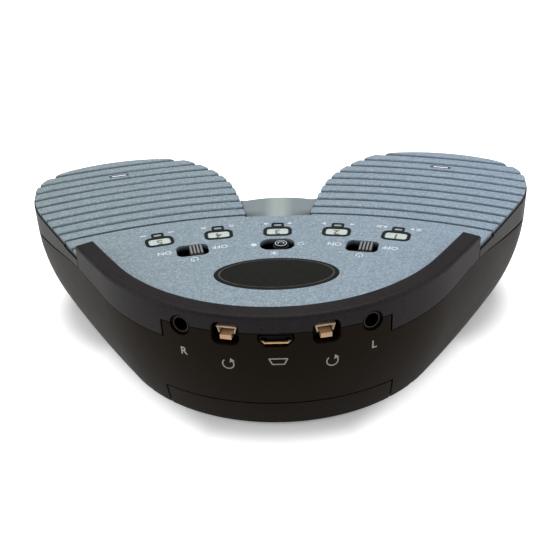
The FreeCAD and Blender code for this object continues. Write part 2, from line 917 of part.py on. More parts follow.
def lower_case():
    """Floor, curved wall, battery bay and every post that stands on the floor."""
    outer = envelope(0.0)
    room = envelope(n.case_wall).common(slab(FLOOR_Z, FAR))
    under = below_seam(pedal_sink).fuse(port_panel(-n.end_gap, -FAR, DECK_Z - n.seam_port_depth - n.seam_gap))
    shell = outer.cut(room).common(under)
    lip_outer = n.skirt_wall + n.lip_clearance
    lip_top = FRAME_BOTTOM - stroke_at(2 * REAR_Y - n.hinge_reach) - n.running_gap
    lip = ring(lip_outer, lip_outer + n.lip_thickness, DECK_Z - n.flat_depth - 2 * n.lip_height, lip_top)
    raised = below_seam(pedal_sink)
    raised.translate(Z_AXIS * n.lip_height)
    for side in SIDES.values():
        lip = lip.cut(inner_side(side, -n.lens_gap).cut(inner_side(side, lip_outer)))
    shell = shell.fuse(lip.common(raised).common(envelope(n.case_wall / 2)))
    posts = []
    head = HINGE_Z + n.post_head
    for side in SIDES.values():
        for start in (n.post_inner, n.post_outer):
            ends = sorted((side * start, side * (start + n.post_thickness)))
            low = (ends[0], HINGE_Y - n.post_half_depth, BOTTOM_Z)
            posts.append(block(low, (ends[1], HINGE_Y + n.post_half_depth, head)))
        spring_y = forward(n.spring_forward)
        seat = DECK_Z - n.spring_post_depth
        posts.append(drum(n.spring_post_radius, BOTTOM_Z, seat, side * n.spring_side, spring_y))
        pin = n.spring_radius - n.spring_wire
        posts.append(drum(pin, BOTTOM_Z, seat + 2 * n.spring_radius, side * n.spring_side, spring_y))
        seat = DECK_Z - n.switch_post_depth
        switch_y = forward(n.switch_forward)
        posts.append(drum(n.switch_post_radius, BOTTOM_Z, seat, side * n.switch_side, switch_y))
        posts.append(drum(n.stop_radius, BOTTOM_Z, stop_seat(), side * n.stop_side, forward(n.stop_forward)))
    for x, y in BOARD_PLACES:
        posts.append(drum(n.board_post_radius, BOTTOM_Z, BOARD_BOTTOM, x, y))
    for x, y in SCREW_PLACES:
        posts.append(drum(n.boss_radius, BOTTOM_Z, n.boss_split, x, y))
    wall = n.bay_wall
    half = n.bay_half_width + wall
    posts.append(block((-half, at_reach(n.bay_front + wall), BOTTOM_Z), (half, REAR_Y, bay_top() + wall)))
    inside = envelope(n.case_wall / 2)
    shell = shell.multiFuse([post.common(inside) for post in posts])
    holes = [battery_bay(), door_space(), door_rail(n.door_gap), PORT_CUTS]
    holes.append(hinge_line(n.rod_radius + n.rod_fit))
    for x, y in FOOT_PLACES.values():
        holes.append(drum(n.foot_radius + n.door_gap, -OVERSHOOT, n.foot_thickness, x, y))
    for x, y in SCREW_PLACES:
        seat = screw_seat()
        holes.append(drum(n.screw_head_radius + n.door_gap, -OVERSHOOT, seat, x, y))
        top = n.boss_split + OVERSHOOT
        holes.append(drum(n.screw_shank_radius + n.rod_fit, seat - OVERSHOOT, top, x, y))
    low = BOARD_BOTTOM - 2 * n.board_post_radius
    for x, y in BOARD_PLACES:
        holes.append(drum(n.board_screw_radius + n.rod_fit, low, BOARD_BOTTOM + OVERSHOOT, x, y))
    return shell.cut(holes[0].multiFuse(holes[1:]))


def screw_seat():
    """Level of the shoulder that a case screw's head rests on."""
    return n.boss_split - n.screw_length / 2


def stop_seat():
    """Level that a stop pad stands on."""
    return FRAME_BOTTOM - stroke_at(n.stop_forward) - n.stop_clearance - n.stop_height


def hinge_line(radius):
    """Cylinder along the hinge, as long as the rod."""
    length = n.post_outer + n.post_thickness
    return Part.makeCylinder(radius, 2 * length, FreeCAD.Vector(-length, HINGE_Y, HINGE_Z), X_AXIS)


def upper_case():
    """Rear band with the raised rim, the ledge and the front beam that carry the console plate."""
    rear = rear_zone(-n.end_gap)
    plate_z = DECK_Z - n.plate_thickness
    ledge_z = plate_z - n.ledge_thickness
    top = 2 * n.rim_end_height + DECK_Z
    band = ring(0.0, n.skirt_wall, DECK_Z - 2 * n.flat_depth, top)
    over = above_seam(lambda reach: 0.0).cut(port_panel(n.end_gap, -FAR, DECK_Z - n.seam_port_depth))
    band = band.common(over)
    rim = ring(0.0, n.rim_width, plate_z, top)
    rise = (n.rim_end_height - n.rim_rear_height) / n.seam_crest_reach
    rear_z = DECK_Z + n.rim_rear_height
    line = [(REAR_Y + FAR, rear_z - rise * FAR), (-FAR, rear_z + rise * (REAR_Y + FAR))]
    corners = [FreeCAD.Vector(-FAR, y, z) for y, z in line + [(-FAR, -FAR), (REAR_Y + FAR, -FAR)]]
    under_rim = Part.Face(Part.makePolygon(corners + [corners[0]])).extrude(X_AXIS * (2 * FAR))
    crown = band.fuse(rim).common(rear).common(under_rim)
    crown = crown.common(split_disc(n.split_radius)).removeSplitter()
    crown = soften(crown, n.rim_round, above(DECK_Z + n.rim_rear_height / 2))
    start = n.rim_width - n.lip_thickness
    ledge = ring(start, start + n.ledge_width, ledge_z, plate_z)
    behind = split_disc(n.split_radius - n.split_gap)
    ledge = ledge.common(behind)
    beam = prism(start, ledge_z, plate_z).common(behind)
    beam = beam.cut(split_disc(n.split_radius - n.split_gap - n.ledge_width + n.lip_thickness))
    bosses = []
    for x, y in SCREW_PLACES:
        bosses.append(drum(n.boss_radius, n.boss_split + n.end_gap, plate_z, x, y))
    whole = crown.multiFuse([ledge, beam] + bosses)
    holes = [PORT_CUTS]
    for x, y in SCREW_PLACES:
        top = screw_seat() + n.screw_length + OVERSHOOT
        holes.append(drum(n.screw_thread_radius, n.boss_split - OVERSHOOT, top, x, y))
    return whole.cut(holes[0].multiFuse(holes[1:]))


# Console controls about the groove centre

CONTROL_TURNS = {"repeat": 1, "light": 0, "power": -1}
WINDOW_NUMBERS = range(1, 6)


def polar_place(radius, turn):
    """X, Y and turn of something on an arc about the groove centre; a positive turn goes to +X."""
    x = radius * sine(turn)
    y = Size(GROOVE_Y, repr(GROOVE_Y)) - radius * cosine(turn)
    return x, y, turn


def window_turn(number):
    """Angle of a window; number one is on the user's left."""
    return d.window_turn * (number - 3)


def turned_tool(shape, radius, turn):
    """Moves a tool from its own frame to an arc about the groove centre."""
    x, y, angle = polar_place(radius, turn)
    placed = shape.copy()
    placed.rotate(ORIGIN, Z_AXIS, angle.value)
    placed.translate(FreeCAD.Vector(x.value, y.value, 0))
    return placed


def rounded_plate(width, height, low, high, radius):
    """Upright block with rounded upright edges."""
    body = block((-width / 2, -height / 2, low), (width / 2, height / 2, high))
    return body.makeFillet(radius, [edge for edge in body.Edges if upright(edge)])


def bezel_outline(grow, low, high):
    """Window frame and its tab, seen from above, grown by a clearance."""
    size = (n.window_width + 2 * grow, n.window_height + 2 * grow)
    main = rounded_plate(*size, low, high, n.window_round)
    tab = rounded_plate(n.tab_width + 2 * grow, n.tab_height + 2 * grow, low, high, n.tab_frame)
    tab.translate(FreeCAD.Vector(0, -n.tab_shift, 0))
    return main.fuse(tab)


def badge_tool(grow, low, high):
    """Upright oval."""
    middle = FreeCAD.Vector(0, at_reach(n.badge_reach), low)
    oval = Part.Ellipse(middle, n.badge_width / 2 + grow, n.badge_height / 2 + grow)
    return Part.Face(Part.Wire(oval.toShape())).extrude(Z_AXIS * (high - low))


def console_plate():
    """Grey plate inside the rim and, ahead of it, out to the side wall."""
    low = DECK_Z - n.plate_thickness
    inner = prism(n.rim_width + n.plate_gap, low, DECK_Z)
    outer = prism(n.deck_edge_inset, low, DECK_Z).cut(rear_zone(n.end_gap))
    reach = n.split_radius - n.split_gap / 2
    plate = inner.fuse(outer).common(split_disc(reach)).removeSplitter()
    plate = soften(plate, n.edge_round, arc_edge(DECK_Z, reach))
    tools = [badge_tool(0.0, DECK_Z - n.badge_seat, FAR)]
    for number in WINDOW_NUMBERS:
        opening = bezel_outline(n.plate_gap / 2, -FAR, FAR)
        tools.append(turned_tool(opening, WINDOW_RADIUS, window_turn(number)))
    for name, step in CONTROL_TURNS.items():
        if name == "light":
            slot = rounded_plate(n.light_slot_width, n.slot_height, -FAR, FAR, n.light_slot_round)
        else:
            slot = rounded_plate(n.slot_width, n.slot_height, -FAR, FAR, n.slot_round)
        tools.append(turned_tool(slot, CONTROL_RADIUS, d.control_turn * step))
    plate = plate.cut(tools[0].multiFuse(tools[1:])).cut(PORT_CUTS)
    half = n.lens_tail_half_width
    plate = plate.cut(block((-half, -FAR, -FAR), (half, at_reach(n.split_reach - n.lens_tail), FAR)))
    groove = groove_ring(n.split_radius - n.groove_pitch)
    outside = slab(-FAR, FAR).cut(prism(n.deck_edge_inset + n.groove_margin, -FAR, FAR))
    return plate.cut(groove.common(outside))


def groove_ring(radius):
    """Ring that cuts one groove: a round bottom between two rounded shoulders."""
    waist = DECK_Z - n.groove_depth / 2
    tops, necks, bends, lids = [], [], [], []
    for way in (-1, 1):
        top = FreeCAD.Vector(radius + way * n.groove_width / 2, 0, DECK_Z)
        neck = FreeCAD.Vector(radius + way * n.groove_neck / 2, 0, waist)
        slope = neck - top
        outward = FreeCAD.Vector(slope.z * way, 0, -slope.x * way).normalize()
        tops.append(top)
        necks.append(neck)
        bends.append((top + neck) / 2 + outward * n.groove_shoulder)
        lids.append(top + Z_AXIS * OVERSHOOT)
    bottom = FreeCAD.Vector(radius, 0, DECK_Z - n.groove_depth)
    curves = [
        Part.Arc(tops[0], bends[0], necks[0]),
        Part.Arc(necks[0], bottom, necks[1]),
        Part.Arc(necks[1], bends[1], tops[1]),
    ]
    edges = [curve.toShape() for curve in curves]
    for start, end in ((tops[1], lids[1]), (lids[1], lids[0]), (lids[0], tops[0])):
        edges.append(Part.makeLine(start, end))
    ring_solid = Part.Face(Part.Wire(edges)).revolve(ORIGIN, Z_AXIS, 360)
    ring_solid.translate(FreeCAD.Vector(0, GROOVE_Y, 0))
    return ring_solid


def pedal_region(side, inset, shift, low, high):
    """Prism over one lobe, from the split to the front."""
    body = prism(inset, low, high)
    body = body.cut(split_disc(n.split_radius + n.split_gap / 2))
    return body.common(inner_side(side, n.lens_gap / 2 + shift))


def pedal_frame(side):
    """Plate, skirt and hinge lugs of one pedal."""
    plate = pedal_region(side, 0.0, 0.0, FRAME_BOTTOM, FRAME_TOP)
    lip_z = DECK_Z - n.tread_cap
    skirt = pedal_region(side, 0.0, 0.0, DECK_Z - n.flat_depth, lip_z)
    skirt = skirt.cut(pedal_region(side, n.skirt_wall, n.skirt_wall, -FAR, FAR))
    hood = DECK_Z - n.plate_thickness - n.running_gap
    tail = ring(0.0, n.skirt_wall, DECK_Z - n.flat_depth, hood).cut(rear_zone(n.end_gap))
    tail = tail.common(split_disc(n.split_radius + n.split_gap)).common(inner_side(side, n.rear_radius / 2))
    skirt = skirt.fuse(tail).common(above_seam(lambda reach: 0.0))
    parts = [skirt]
    for start in (n.post_inner + n.post_thickness + n.lug_gap, n.post_outer - n.lug_gap - n.lug_thickness):
        parts.append(hinge_lug(side, start))
    spring_pin = n.spring_radius - n.spring_wire
    reach = FRAME_BOTTOM - n.spring_radius
    parts.append(drum(spring_pin, reach, FRAME_BOTTOM, side * n.spring_side, forward(n.spring_forward)))
    tip = plunger_top() + n.actuator_gap
    parts.append(drum(n.plunger_radius, tip, FRAME_BOTTOM, side * n.switch_side, forward(n.switch_forward)))
    return plate.multiFuse(parts)


def hinge_lug(side, start):
    """Arm from the frame's plate down and back to the rod."""
    middle = start + n.lug_thickness / 2
    edge = GROOVE_Y - math.sqrt((n.split_radius + n.split_gap) ** 2 - middle ** 2)
    width = 2 * n.post_half_depth
    eye = n.rod_radius + n.eye_wall
    points = [
        (edge - n.running_gap, FRAME_BOTTOM),
        (edge - width, FRAME_BOTTOM),
        (edge - width, HINGE_Z + n.post_head),
        (HINGE_Y, HINGE_Z - eye),
        (HINGE_Y, HINGE_Z + n.post_head),
        (edge - n.running_gap, HINGE_Z + n.post_head),
    ]
    x = side * start if side > 0 else side * (start + n.lug_thickness)
    corners = [FreeCAD.Vector(x, y, z) for y, z in points]
    arm = Part.Face(Part.makePolygon(corners + [corners[0]])).extrude(X_AXIS * n.lug_thickness)
    hub = Part.makeCylinder(eye, n.lug_thickness, FreeCAD.Vector(x, HINGE_Y, HINGE_Z), X_AXIS)
    return arm.fuse(hub).cut(hinge_line(n.rod_radius + n.lug_fit))


def tread(side):
    """Grey ribbed tread: a cap over the skirt's edge and a core inside it."""
    cap_z = DECK_Z - n.tread_cap
    cap = pedal_region(side, n.deck_edge_inset, 0.0, cap_z, DECK_Z)
    core_inset = n.skirt_wall + n.plate_gap
    core = pedal_region(side, core_inset, core_inset, FRAME_TOP, cap_z)
    steps = range(1, int(n.groove_count) + 1)
    grooves = [groove_ring(n.split_radius + n.groove_pitch * step) for step in steps]
    return cap.cut(Part.makeCompound(grooves)).fuse(core)


def light_lens():
    """Frosted cap of the nose between the pedals, falling away towards the user."""
    low = DECK_Z - n.seam_front_depth
    keep_in = slab(-FAR, FAR).cut(inner_side(1, -n.lens_gap / 2)).cut(inner_side(-1, -n.lens_gap / 2))
    outer = prism(n.deck_edge_inset, low, DECK_Z).common(keep_in)
    wall = n.skirt_wall + n.lip_clearance - n.plate_gap
    inner = prism(wall, low, DECK_Z - n.lens_near_depth - wall)
    near = split_disc(n.split_radius + n.split_gap / 2)
    nose_y = half_outline(n.deck_edge_inset, REAR_Y)[-1].Vertexes[-1].Point.y
    start = GROOVE_Y - n.split_radius
    fall = (n.lens_far_depth - n.lens_near_depth) / (start - nose_y)
    tilt = Part.makeBox(2 * FAR, 2 * FAR, FAR, FreeCAD.Vector(-FAR, -FAR, 0))
    tilt.rotate(ORIGIN, X_AXIS, math.degrees(math.atan(fall)))
    tilt.translate(FreeCAD.Vector(0, start, DECK_Z - n.lens_near_depth))
    cap = outer.cut(near).cut(tilt)
    half = n.lens_tail_half_width - n.plate_gap
    tail_low = (-half, start - n.skirt_wall, DECK_Z - n.plate_thickness + n.plate_gap)
    tail_y = at_reach(n.split_reach - n.lens_tail) - n.plate_gap
    tail = block(tail_low, (half, tail_y, DECK_Z - n.lens_near_depth)).common(keep_in)
    return soften(cap, n.edge_round, above(DECK_Z - n.skirt_wall)).cut(inner).fuse(tail)


def battery_door():
    """Floor panel of the battery bay with the strip of rear wall that comes away with it."""
    outer = envelope(0.0)
    inner = envelope(n.door_thickness).common(slab(BOTTOM_Z + n.door_thickness, FAR))
    half = n.door_half_width - n.door_gap
    low_y = at_reach(n.door_reach) + n.door_gap
    space = block((-half, low_y, -FAR), (half, REAR_Y + FAR, DECK_Z - n.door_top_depth - n.door_gap))
    panel = outer.cut(inner).common(space)
    tongues = door_rail(0.0).common(envelope(n.case_wall)).common(slab(-FAR, FLOOR_Z))
    return panel.fuse(tongues)


def plunger_top():
    """Level of the top of a pedal switch's plunger."""
    return DECK_Z - n.switch_post_depth + n.board_thickness + n.switch_body_height + n.plunger_proud


def arc_from(start, heading, end):
    """Arc that leaves a point along a heading and ends at another point."""
    chord = end - start
    bend = chord.getAngle(heading)
    rise = heading - chord * (heading.dot(chord) / chord.dot(chord))
    top = (start + end) / 2 + rise.normalize() * (chord.Length / 2 * math.tan(bend / 2))
    return Part.Arc(start, top, end).toShape()


def coil_point(radius, climb, angle):
    """Point and heading on a helix at an angle in radians."""
    point = FreeCAD.Vector(radius * math.cos(angle), radius * math.sin(angle), climb * angle)
    heading = FreeCAD.Vector(-radius * math.sin(angle), radius * math.cos(angle), climb)
    return point, heading.normalize()


def wire_gap(arcs, apart, wire):
    """Least gap of a wound wire to itself, between points that are so many arcs or more apart."""
    points = [point for arc in arcs for point in arc.discretize(ARC_POINTS)[:-1]]
    step = apart * (ARC_POINTS - 1)
    least = min(a.distanceToPoint(b) for i, a in enumerate(points) for b in points[i + step:])
    return least - wire


def coil(radius, wire, low, high, turns, x, y):
    """Round wire wound into a spring, along two tangent arcs for each quarter of a turn."""
    quarter = math.pi / 2
    climb = (high - low - wire) / (2 * math.pi * turns)
    arcs = []
    for step in range(int(4 * turns)):
        start, leave = coil_point(radius, climb, step * quarter)
        end, arrive = coil_point(radius, climb, (step + 1) * quarter)
        chord = end - start
        lean = chord.dot(leave + arrive)
        spread = 2 * (1 - leave.dot(arrive))
        reach = (math.sqrt(lean * lean + spread * chord.dot(chord)) - lean) / spread
        middle = (start + end + (leave - arrive) * reach) / 2
        arcs.append(arc_from(start, leave, middle))
        arcs.append(arc_from(middle, (end - arrive * reach - middle), end))
    half_turn = 4
    print("least gap of the spring's wire to itself", round(wire_gap(arcs, half_turn, wire), 2), "mm")
    start, heading = coil_point(radius, climb, 0.0)
    section = Part.Wire(Part.makeCircle(wire / 2, start, heading))
    solid = Part.Wire(arcs).makePipeShell([section], True, False)
    solid.translate(FreeCAD.Vector(x, y, low + wire / 2))
    return solid


def return_spring(side):
    """Compression spring between its post and the pedal's plate."""
    low = DECK_Z - n.spring_post_depth + n.plate_gap
    high = FRAME_BOTTOM - n.plate_gap
    place_x = side * n.spring_side
    place_y = forward(n.spring_forward)
    return coil(n.spring_radius, n.spring_wire, low, high, n.spring_turns, place_x, place_y)


def add_shells():
    """Pieces whose walls follow the outline."""
    keep(feature("lower_case", lower_case()))
    keep(feature("upper_case", upper_case()))
    keep(feature("console_plate", console_plate()))
    keep(feature("light_lens", light_lens()))
    keep(feature("battery_door", battery_door()))
    for name, side in SIDES.items():
        keep(feature(f"{name}_pedal_frame", pedal_frame(side)))
        keep(feature(f"{name}_tread", tread(side)))
        keep(feature(f"{name}_return_spring", return_spring(side)))


def add_badge():
    """Plain oval plate in its seat."""
    build = Builder("badge_plate")
    sketch = build.sketch()
    oval = Part.Ellipse(ORIGIN, n.badge_width / 2, n.badge_height / 2)
    index = sketch.addGeometry(oval, False)
    sketch.addConstraint(Sketcher.Constraint("Coincident", index, 3, -1, 1))
    build.pad(sketch, d.badge_thickness)
    build.dress("Fillet", d.badge_thickness / 3, at_level(n.badge_thickness))
    keep(place(build.body, 0.0, at_reach(d.badge_reach), DECK - d.badge_seat))


def add_rod():
    """Steel rod that both pedals turn on."""
    build = Builder("hinge_rod")
    length = (d.post_outer + d.post_thickness) * 2 - d.running_gap
    build.turned([(0.0, 0.0), (d.rod_radius, 0.0), (d.rod_radius, length), (0.0, length)])
    build.dress("Chamfer", d.rod_radius / 4, lambda edge: edge.Curve.TypeId == "Part::GeomCircle")
    y = at_reach(d.hinge_reach)
    keep(place(build.body, -length / 2, y, DECK - d.hinge_depth, RIGHT_ANGLE, Y_AXIS))


def add_feet():
    """Four round rubber feet in their seats."""
    for name, (x, y) in FOOT_PLACES.items():
        build = Builder(f"{name}_foot")
        top = d.foot_thickness
        build.turned([(0.0, 0.0), (d.foot_radius, 0.0), (d.foot_radius, top), (0.0, top)])
        build.dress("Fillet", d.foot_proud / 2, at_level(0.0))
        keep(place(build.body, x, y, 0.0))


def add_pedal_switches():
    """Board, switch and plunger under each pedal, and its stop pad."""
    for name, side in SIDES.items():
        x = d.switch_side * side
        y = at_reach(d.hinge_reach) - d.switch_forward
        seat = DECK - d.switch_post_depth
        board = Builder(f"{name}_switch_board")
        width = d.switch_board_width
        board.pad(board.rectangle(board.sketch(), width, width), d.board_thickness)
        keep(place(board.body, x, y, seat))
        can = Builder(f"{name}_pedal_switch")
        can.pad(can.rectangle(can.sketch(), d.switch_body, d.switch_body), d.switch_body_height)
        can.dress("Fillet", d.plunger_radius / 4, upright)
        mouth = can.circle(can.sketch(level=d.switch_body_height), d.plunger_radius + d.lug_fit)
        can.pocket(mouth, d.plunger_well)
        keep(place(can.body, x, y, seat + d.board_thickness))
        plunger = Builder(f"{name}_switch_plunger")
        length = d.plunger_proud + d.plunger_inside
        plunger.turned([(0.0, 0.0), (d.plunger_radius, 0.0), (d.plunger_radius, length), (0.0, length)])
        base = seat + d.board_thickness + d.switch_body_height - d.plunger_inside
        keep(place(plunger.body, x, y, base))
        pad = Builder(f"{name}_stop_pad")
        crown = d.stop_radius - d.edge_round * 2
        pad.turned([(0.0, 0.0), (d.stop_radius, 0.0), (crown, d.stop_height), (0.0, d.stop_height)])
        keep(place(pad.body, d.stop_side * side, at_reach(d.hinge_reach) - d.stop_forward, stop_seat()))


CHIP_SIZES = ("width", "length", "height", "side")


def add_board():
    """Main circuit board with its chips."""
    low = BOARD_BOTTOM
    reach = n.rear_radius - n.case_wall - n.lip_thickness - n.board_edge_gap
    board = drum(reach, low, BOARD_Z, 0.0, ARC_Y)
    half = n.board_half_width
    board = board.common(block((-half, BOARD_FRONT, low), (half, REAR_Y, BOARD_Z)))
    tongue = n.tongue_half_width
    root = BOARD_FRONT + tongue
    board = board.fuse(block((-tongue, at_reach(n.tongue_reach), low), (tongue, root, BOARD_Z)))
    top = BOARD_Z + OVERSHOOT
    holes = []
    for x, y in BOARD_PLACES:
        holes.append(drum(n.board_screw_radius + n.running_gap, low - OVERSHOOT, top, x, y))
    for x, y in SCREW_PLACES:
        holes.append(drum(n.boss_radius + n.board_edge_gap, low - OVERSHOOT, top, x, y))
    keep(feature("main_board", board.cut(holes[0].multiFuse(holes[1:]))))
    level = DECK - d.board_depth
    for name in ("controller_chip", "radio_module"):
        width, length, tall, side = (getattr(d, f"{name}_{size}") for size in CHIP_SIZES)
        chip = Builder(name)
        chip.pad(chip.rectangle(chip.sketch(), width, length), tall)
        chip.dress("Chamfer", tall / 6, at_level(tall.value))
        keep(place(chip.body, side, at_reach(d.chip_reach), level))


def add_window_parts():
    """Frames, number plates, status lenses and their lamps."""
    frames = []
    lamps = []
    sink = DECK - d.window_sink
    for number in WINDOW_NUMBERS:
        x, y, turn = polar_place(WINDOW_RADIUS, window_turn(number))
        low = DECK_Z - n.plate_thickness
        frame = bezel_outline(0.0, low, DECK_Z + n.bezel_proud)
        rim = 2 * n.window_frame
        opening = rounded_plate(n.window_width - rim, n.window_height - rim, -FAR, FAR, n.window_frame)
        rim = 2 * n.tab_frame
        slot = rounded_plate(n.tab_width - rim, n.tab_height - rim, -FAR, FAR, n.tab_frame / 2)
        slot.translate(FreeCAD.Vector(0, -n.tab_shift, 0))
        frames.append(turned_tool(frame.cut(opening).cut(slot), WINDOW_RADIUS, window_turn(number)))
        plate = Builder(f"mode_window_{number}")
        width = d.window_width - d.window_frame * 2 - d.plate_gap
        height = d.window_height - d.window_frame * 2 - d.plate_gap
        plate.pad(plate.rectangle(plate.sketch(), width, height), d.plate_thickness - d.window_sink)
        plate.dress("Fillet", d.window_frame, upright)
        keep(place(plate.body, x, y, DECK - d.plate_thickness, turn))
        lens = Builder(f"status_lens_{number}")
        pipe = d.board_depth - d.window_sink - d.led_height - d.running_gap
        cap_w = d.tab_width - d.tab_frame * 2 - d.plate_gap
        cap_h = d.tab_height - d.tab_frame * 2 - d.plate_gap
        lens.pad(lens.rectangle(lens.sketch(), cap_w, cap_h), pipe)
        lens.dress("Fillet", d.tab_frame / 2, upright)
        reach = WINDOW_RADIUS + d.tab_shift
        lens_x, lens_y, _ = polar_place(reach, turn)
        keep(place(lens.body, lens_x, lens_y, sink - pipe, turn))
        half = (n.led_length / 2, n.led_width / 2)
        lamp = block((-half[0], -half[1], BOARD_Z), (half[0], half[1], BOARD_Z + n.led_height))
        lamps.append(turned_tool(lamp, reach, turn))
    keep(feature("window_bezels", Part.makeCompound(frames)))
    keep(feature("status_leds", Part.makeCompound(lamps)))


def add_slide_switches():
    """Three slide switches on the board and their knobs in the console."""
    for name, step in CONTROL_TURNS.items():
        x, y, turn = polar_place(CONTROL_RADIUS, d.control_turn * step)
        can = Builder(f"{name}_switch")
        can.pad(can.rectangle(can.sketch(), d.slide_can_width, d.slide_can_height), d.slide_can_tall)
        run = d.knob_travel + d.knob_stem + d.running_gap * 2
        slot = can.rectangle(can.sketch(level=d.slide_can_tall), run, d.slide_can_height / 2)
        can.pocket(slot, d.slide_can_tall / 2)
        keep(place(can.body, x, y, DECK - d.board_depth, turn))
        knob = Builder(f"{name}_knob")
        rest = -(d.knob_travel / 2)
        stem_low = DECK - d.board_depth + d.slide_can_tall / 2 + d.running_gap
        stem = DECK - d.plate_thickness - stem_low
        depth = d.slide_can_height / 2 - d.running_gap
        knob.pad(knob.rectangle(knob.sketch(), d.knob_stem, depth), stem)
        cap = d.plate_thickness - d.knob_sink
        if name == "light":
            knob.pad(knob.circle(knob.sketch(level=stem), d.light_knob_radius), cap)
        else:
            knob.pad(knob.rectangle(knob.sketch(level=stem), d.knob_width, d.knob_height), cap)
            ridge = d.knob_width / 8
            first = d.knob_width / 2 - ridge
            low = stem + cap
            profile = knob.sketch(level=low)
            knob.rectangle(profile, ridge, d.knob_height, -first, 0.0)
            ridge_pad = knob.pad(profile, d.knob_proud + d.knob_sink)
            pitch = first * 2 / (int(n.knob_ridges) - 1)
            knob.pattern(ridge_pad, "YZ_Plane", pitch, int(n.knob_ridges))
        px = x + rest * cosine(turn)
        py = y + rest * sine(turn)
        keep(place(knob.body, px, py, stem_low, turn))


def add_ports():
    """Jacks, socket and side-pressed reset switches along the board's rear edge."""
    for name, side in SIDES.items():
        build = Builder(f"{name}_jack")
        above = d.jack_above
        below = d.board_depth - d.jack_depth
        start = d.case_wall + d.lip_clearance
        sketch = build.polygon(build.sketch(level=-below), [
            (-d.jack_width / 2, -start - d.jack_length), (d.jack_width / 2, -start - d.jack_length),
            (d.jack_width / 2, -start), (-d.jack_width / 2, -start)])
        build.pad(sketch, above + below)
        barrel = build.circle(build.sketch("XZ_Plane", start), d.jack_bush)
        build.pad(barrel, start - d.port_recess, Reversed=True)
        bore = build.circle(build.sketch("XZ_Plane", d.port_recess), d.jack_bore)
        build.pocket(bore, d.jack_length + start - d.port_recess - d.case_floor, Reversed=True)
        place_port(build.body, side * n.jack_side, n.jack_depth)
        press = Builder(f"{'mode' if side > 0 else 'pairing'}_reset_switch")
        low = d.board_depth - d.reset_depth
        front = RESET_FRONT
        back = front + d.reset_body_depth
        half = d.reset_body_width / 2
        body = press.polygon(press.sketch(level=-low), [
            (-half, -back), (half, -back), (half, -front), (-half, -front)])
        press.pad(body, d.reset_body_height)
        fit = d.plate_gap * 2
        hole_size = (d.reset_button_width + fit, d.reset_button_height + fit)
        middle = d.reset_body_height / 2 - low
        hole = press.rectangle(press.sketch("XZ_Plane", front), *hole_size, 0.0, middle)
        press.pocket(hole, d.reset_body_depth / 2, Reversed=True)
        place_port(press.body, side * n.reset_side, n.reset_depth)
        button = Builder(f"{'mode' if side > 0 else 'pairing'}_reset_button")
        tail = front + d.reset_body_depth / 2 - d.reset_travel - d.plate_gap
        size = (d.reset_button_width, d.reset_button_height)
        stem = button.rectangle(button.sketch("XZ_Plane", tail), *size, 0.0, middle)
        button.pad(stem, tail - d.port_recess, Reversed=True)
        place_port(button.body, side * n.reset_side, n.reset_depth)
    socket = Builder("usb_socket")
    half = d.usb_width / 2
    tall = d.usb_height / 2
    cut = d.usb_height / 2
    foot = half - cut
    knee = cut - tall
    corners = [(-half, tall), (half, tall), (half, knee), (foot, -tall), (-foot, -tall), (-half, knee)]
    front = d.port_recess
    shell = socket.polygon(socket.sketch("XZ_Plane", front + d.usb_length), corners)
    socket.pad(shell, d.usb_length, Reversed=True)
    wall = d.contact_thickness
    side = half - wall
    roof = tall - wall
    knee = knee + wall / 2
    foot = foot - wall / 2
    inner = [(-side, roof), (side, roof), (side, knee), (foot, -roof), (-foot, -roof), (-side, knee)]
    mouth = socket.polygon(socket.sketch("XZ_Plane", front), inner)
    socket.pocket(mouth, d.usb_length - d.board_thickness, Reversed=True)
    rear = socket.sketch("XZ_Plane", front + d.usb_length)
    tongue = socket.rectangle(rear, d.usb_tongue_width, d.usb_tongue_height)
    socket.pad(tongue, d.usb_length - d.port_recess, Reversed=True)
    place_port(socket.body, 0.0, SOCKET_DEPTH.value)


def place_port(body, side_offset, depth):
    """Turns a port from its own frame (outward is +Y, wall at Y = 0) into the rear wall."""
    turn = port_angle(side_offset)
    angle = math.radians(turn)
    y = ARC_Y + n.rear_radius * math.cos(angle)
    base = FreeCAD.Vector(n.rear_radius * math.sin(angle), y, DECK_Z - depth)
    body.Placement = FreeCAD.Placement(base, FreeCAD.Rotation(Z_AXIS, -turn))
    bind(body, "Placement.Base.z", DECK - depth)
    keep(body)


def rim_of(radius):
    """Test for round edges of a radius."""
    return lambda edge: abs(getattr(edge.Curve, "Radius", 0.0) - radius) < 1e-6


def add_cells():
    """Two cells side by side and the plates and springs that touch them."""
    level = CELL_Z
    length = d.cell_length
    nub = d.cell_button_radius
    tip_level = length + d.cell_button_height
    half = n.cell_length / 2
    plates = []
    rows = {"battery_rear": (n.cell_rear_reach, 1), "battery_front": (n.cell_rear_reach + n.cell_spacing, -1)}
    for name, (reach, way) in rows.items():
        cell = Builder(name)
        cell.turned([(0.0, 0.0), (d.cell_radius, 0.0), (d.cell_radius, length),
                     (nub, length), (nub, tip_level), (0.0, tip_level)])
        cell.dress("Fillet", d.contact_thickness, rim_of(n.cell_radius))
        y = at_reach(reach)
        keep(place(cell.body, -way * half, y, level, RIGHT_ANGLE * way, Y_AXIS))
        wall = way * n.bay_half_width
        tip = way * (half + n.cell_button_height + n.end_gap)
        plates.append(contact(wall, tip, y, level))
        far = -way * (half + n.end_gap)
        plates.append(contact(-wall, far, y, level))
    keep(feature("battery_contacts", Part.makeCompound(plates)))


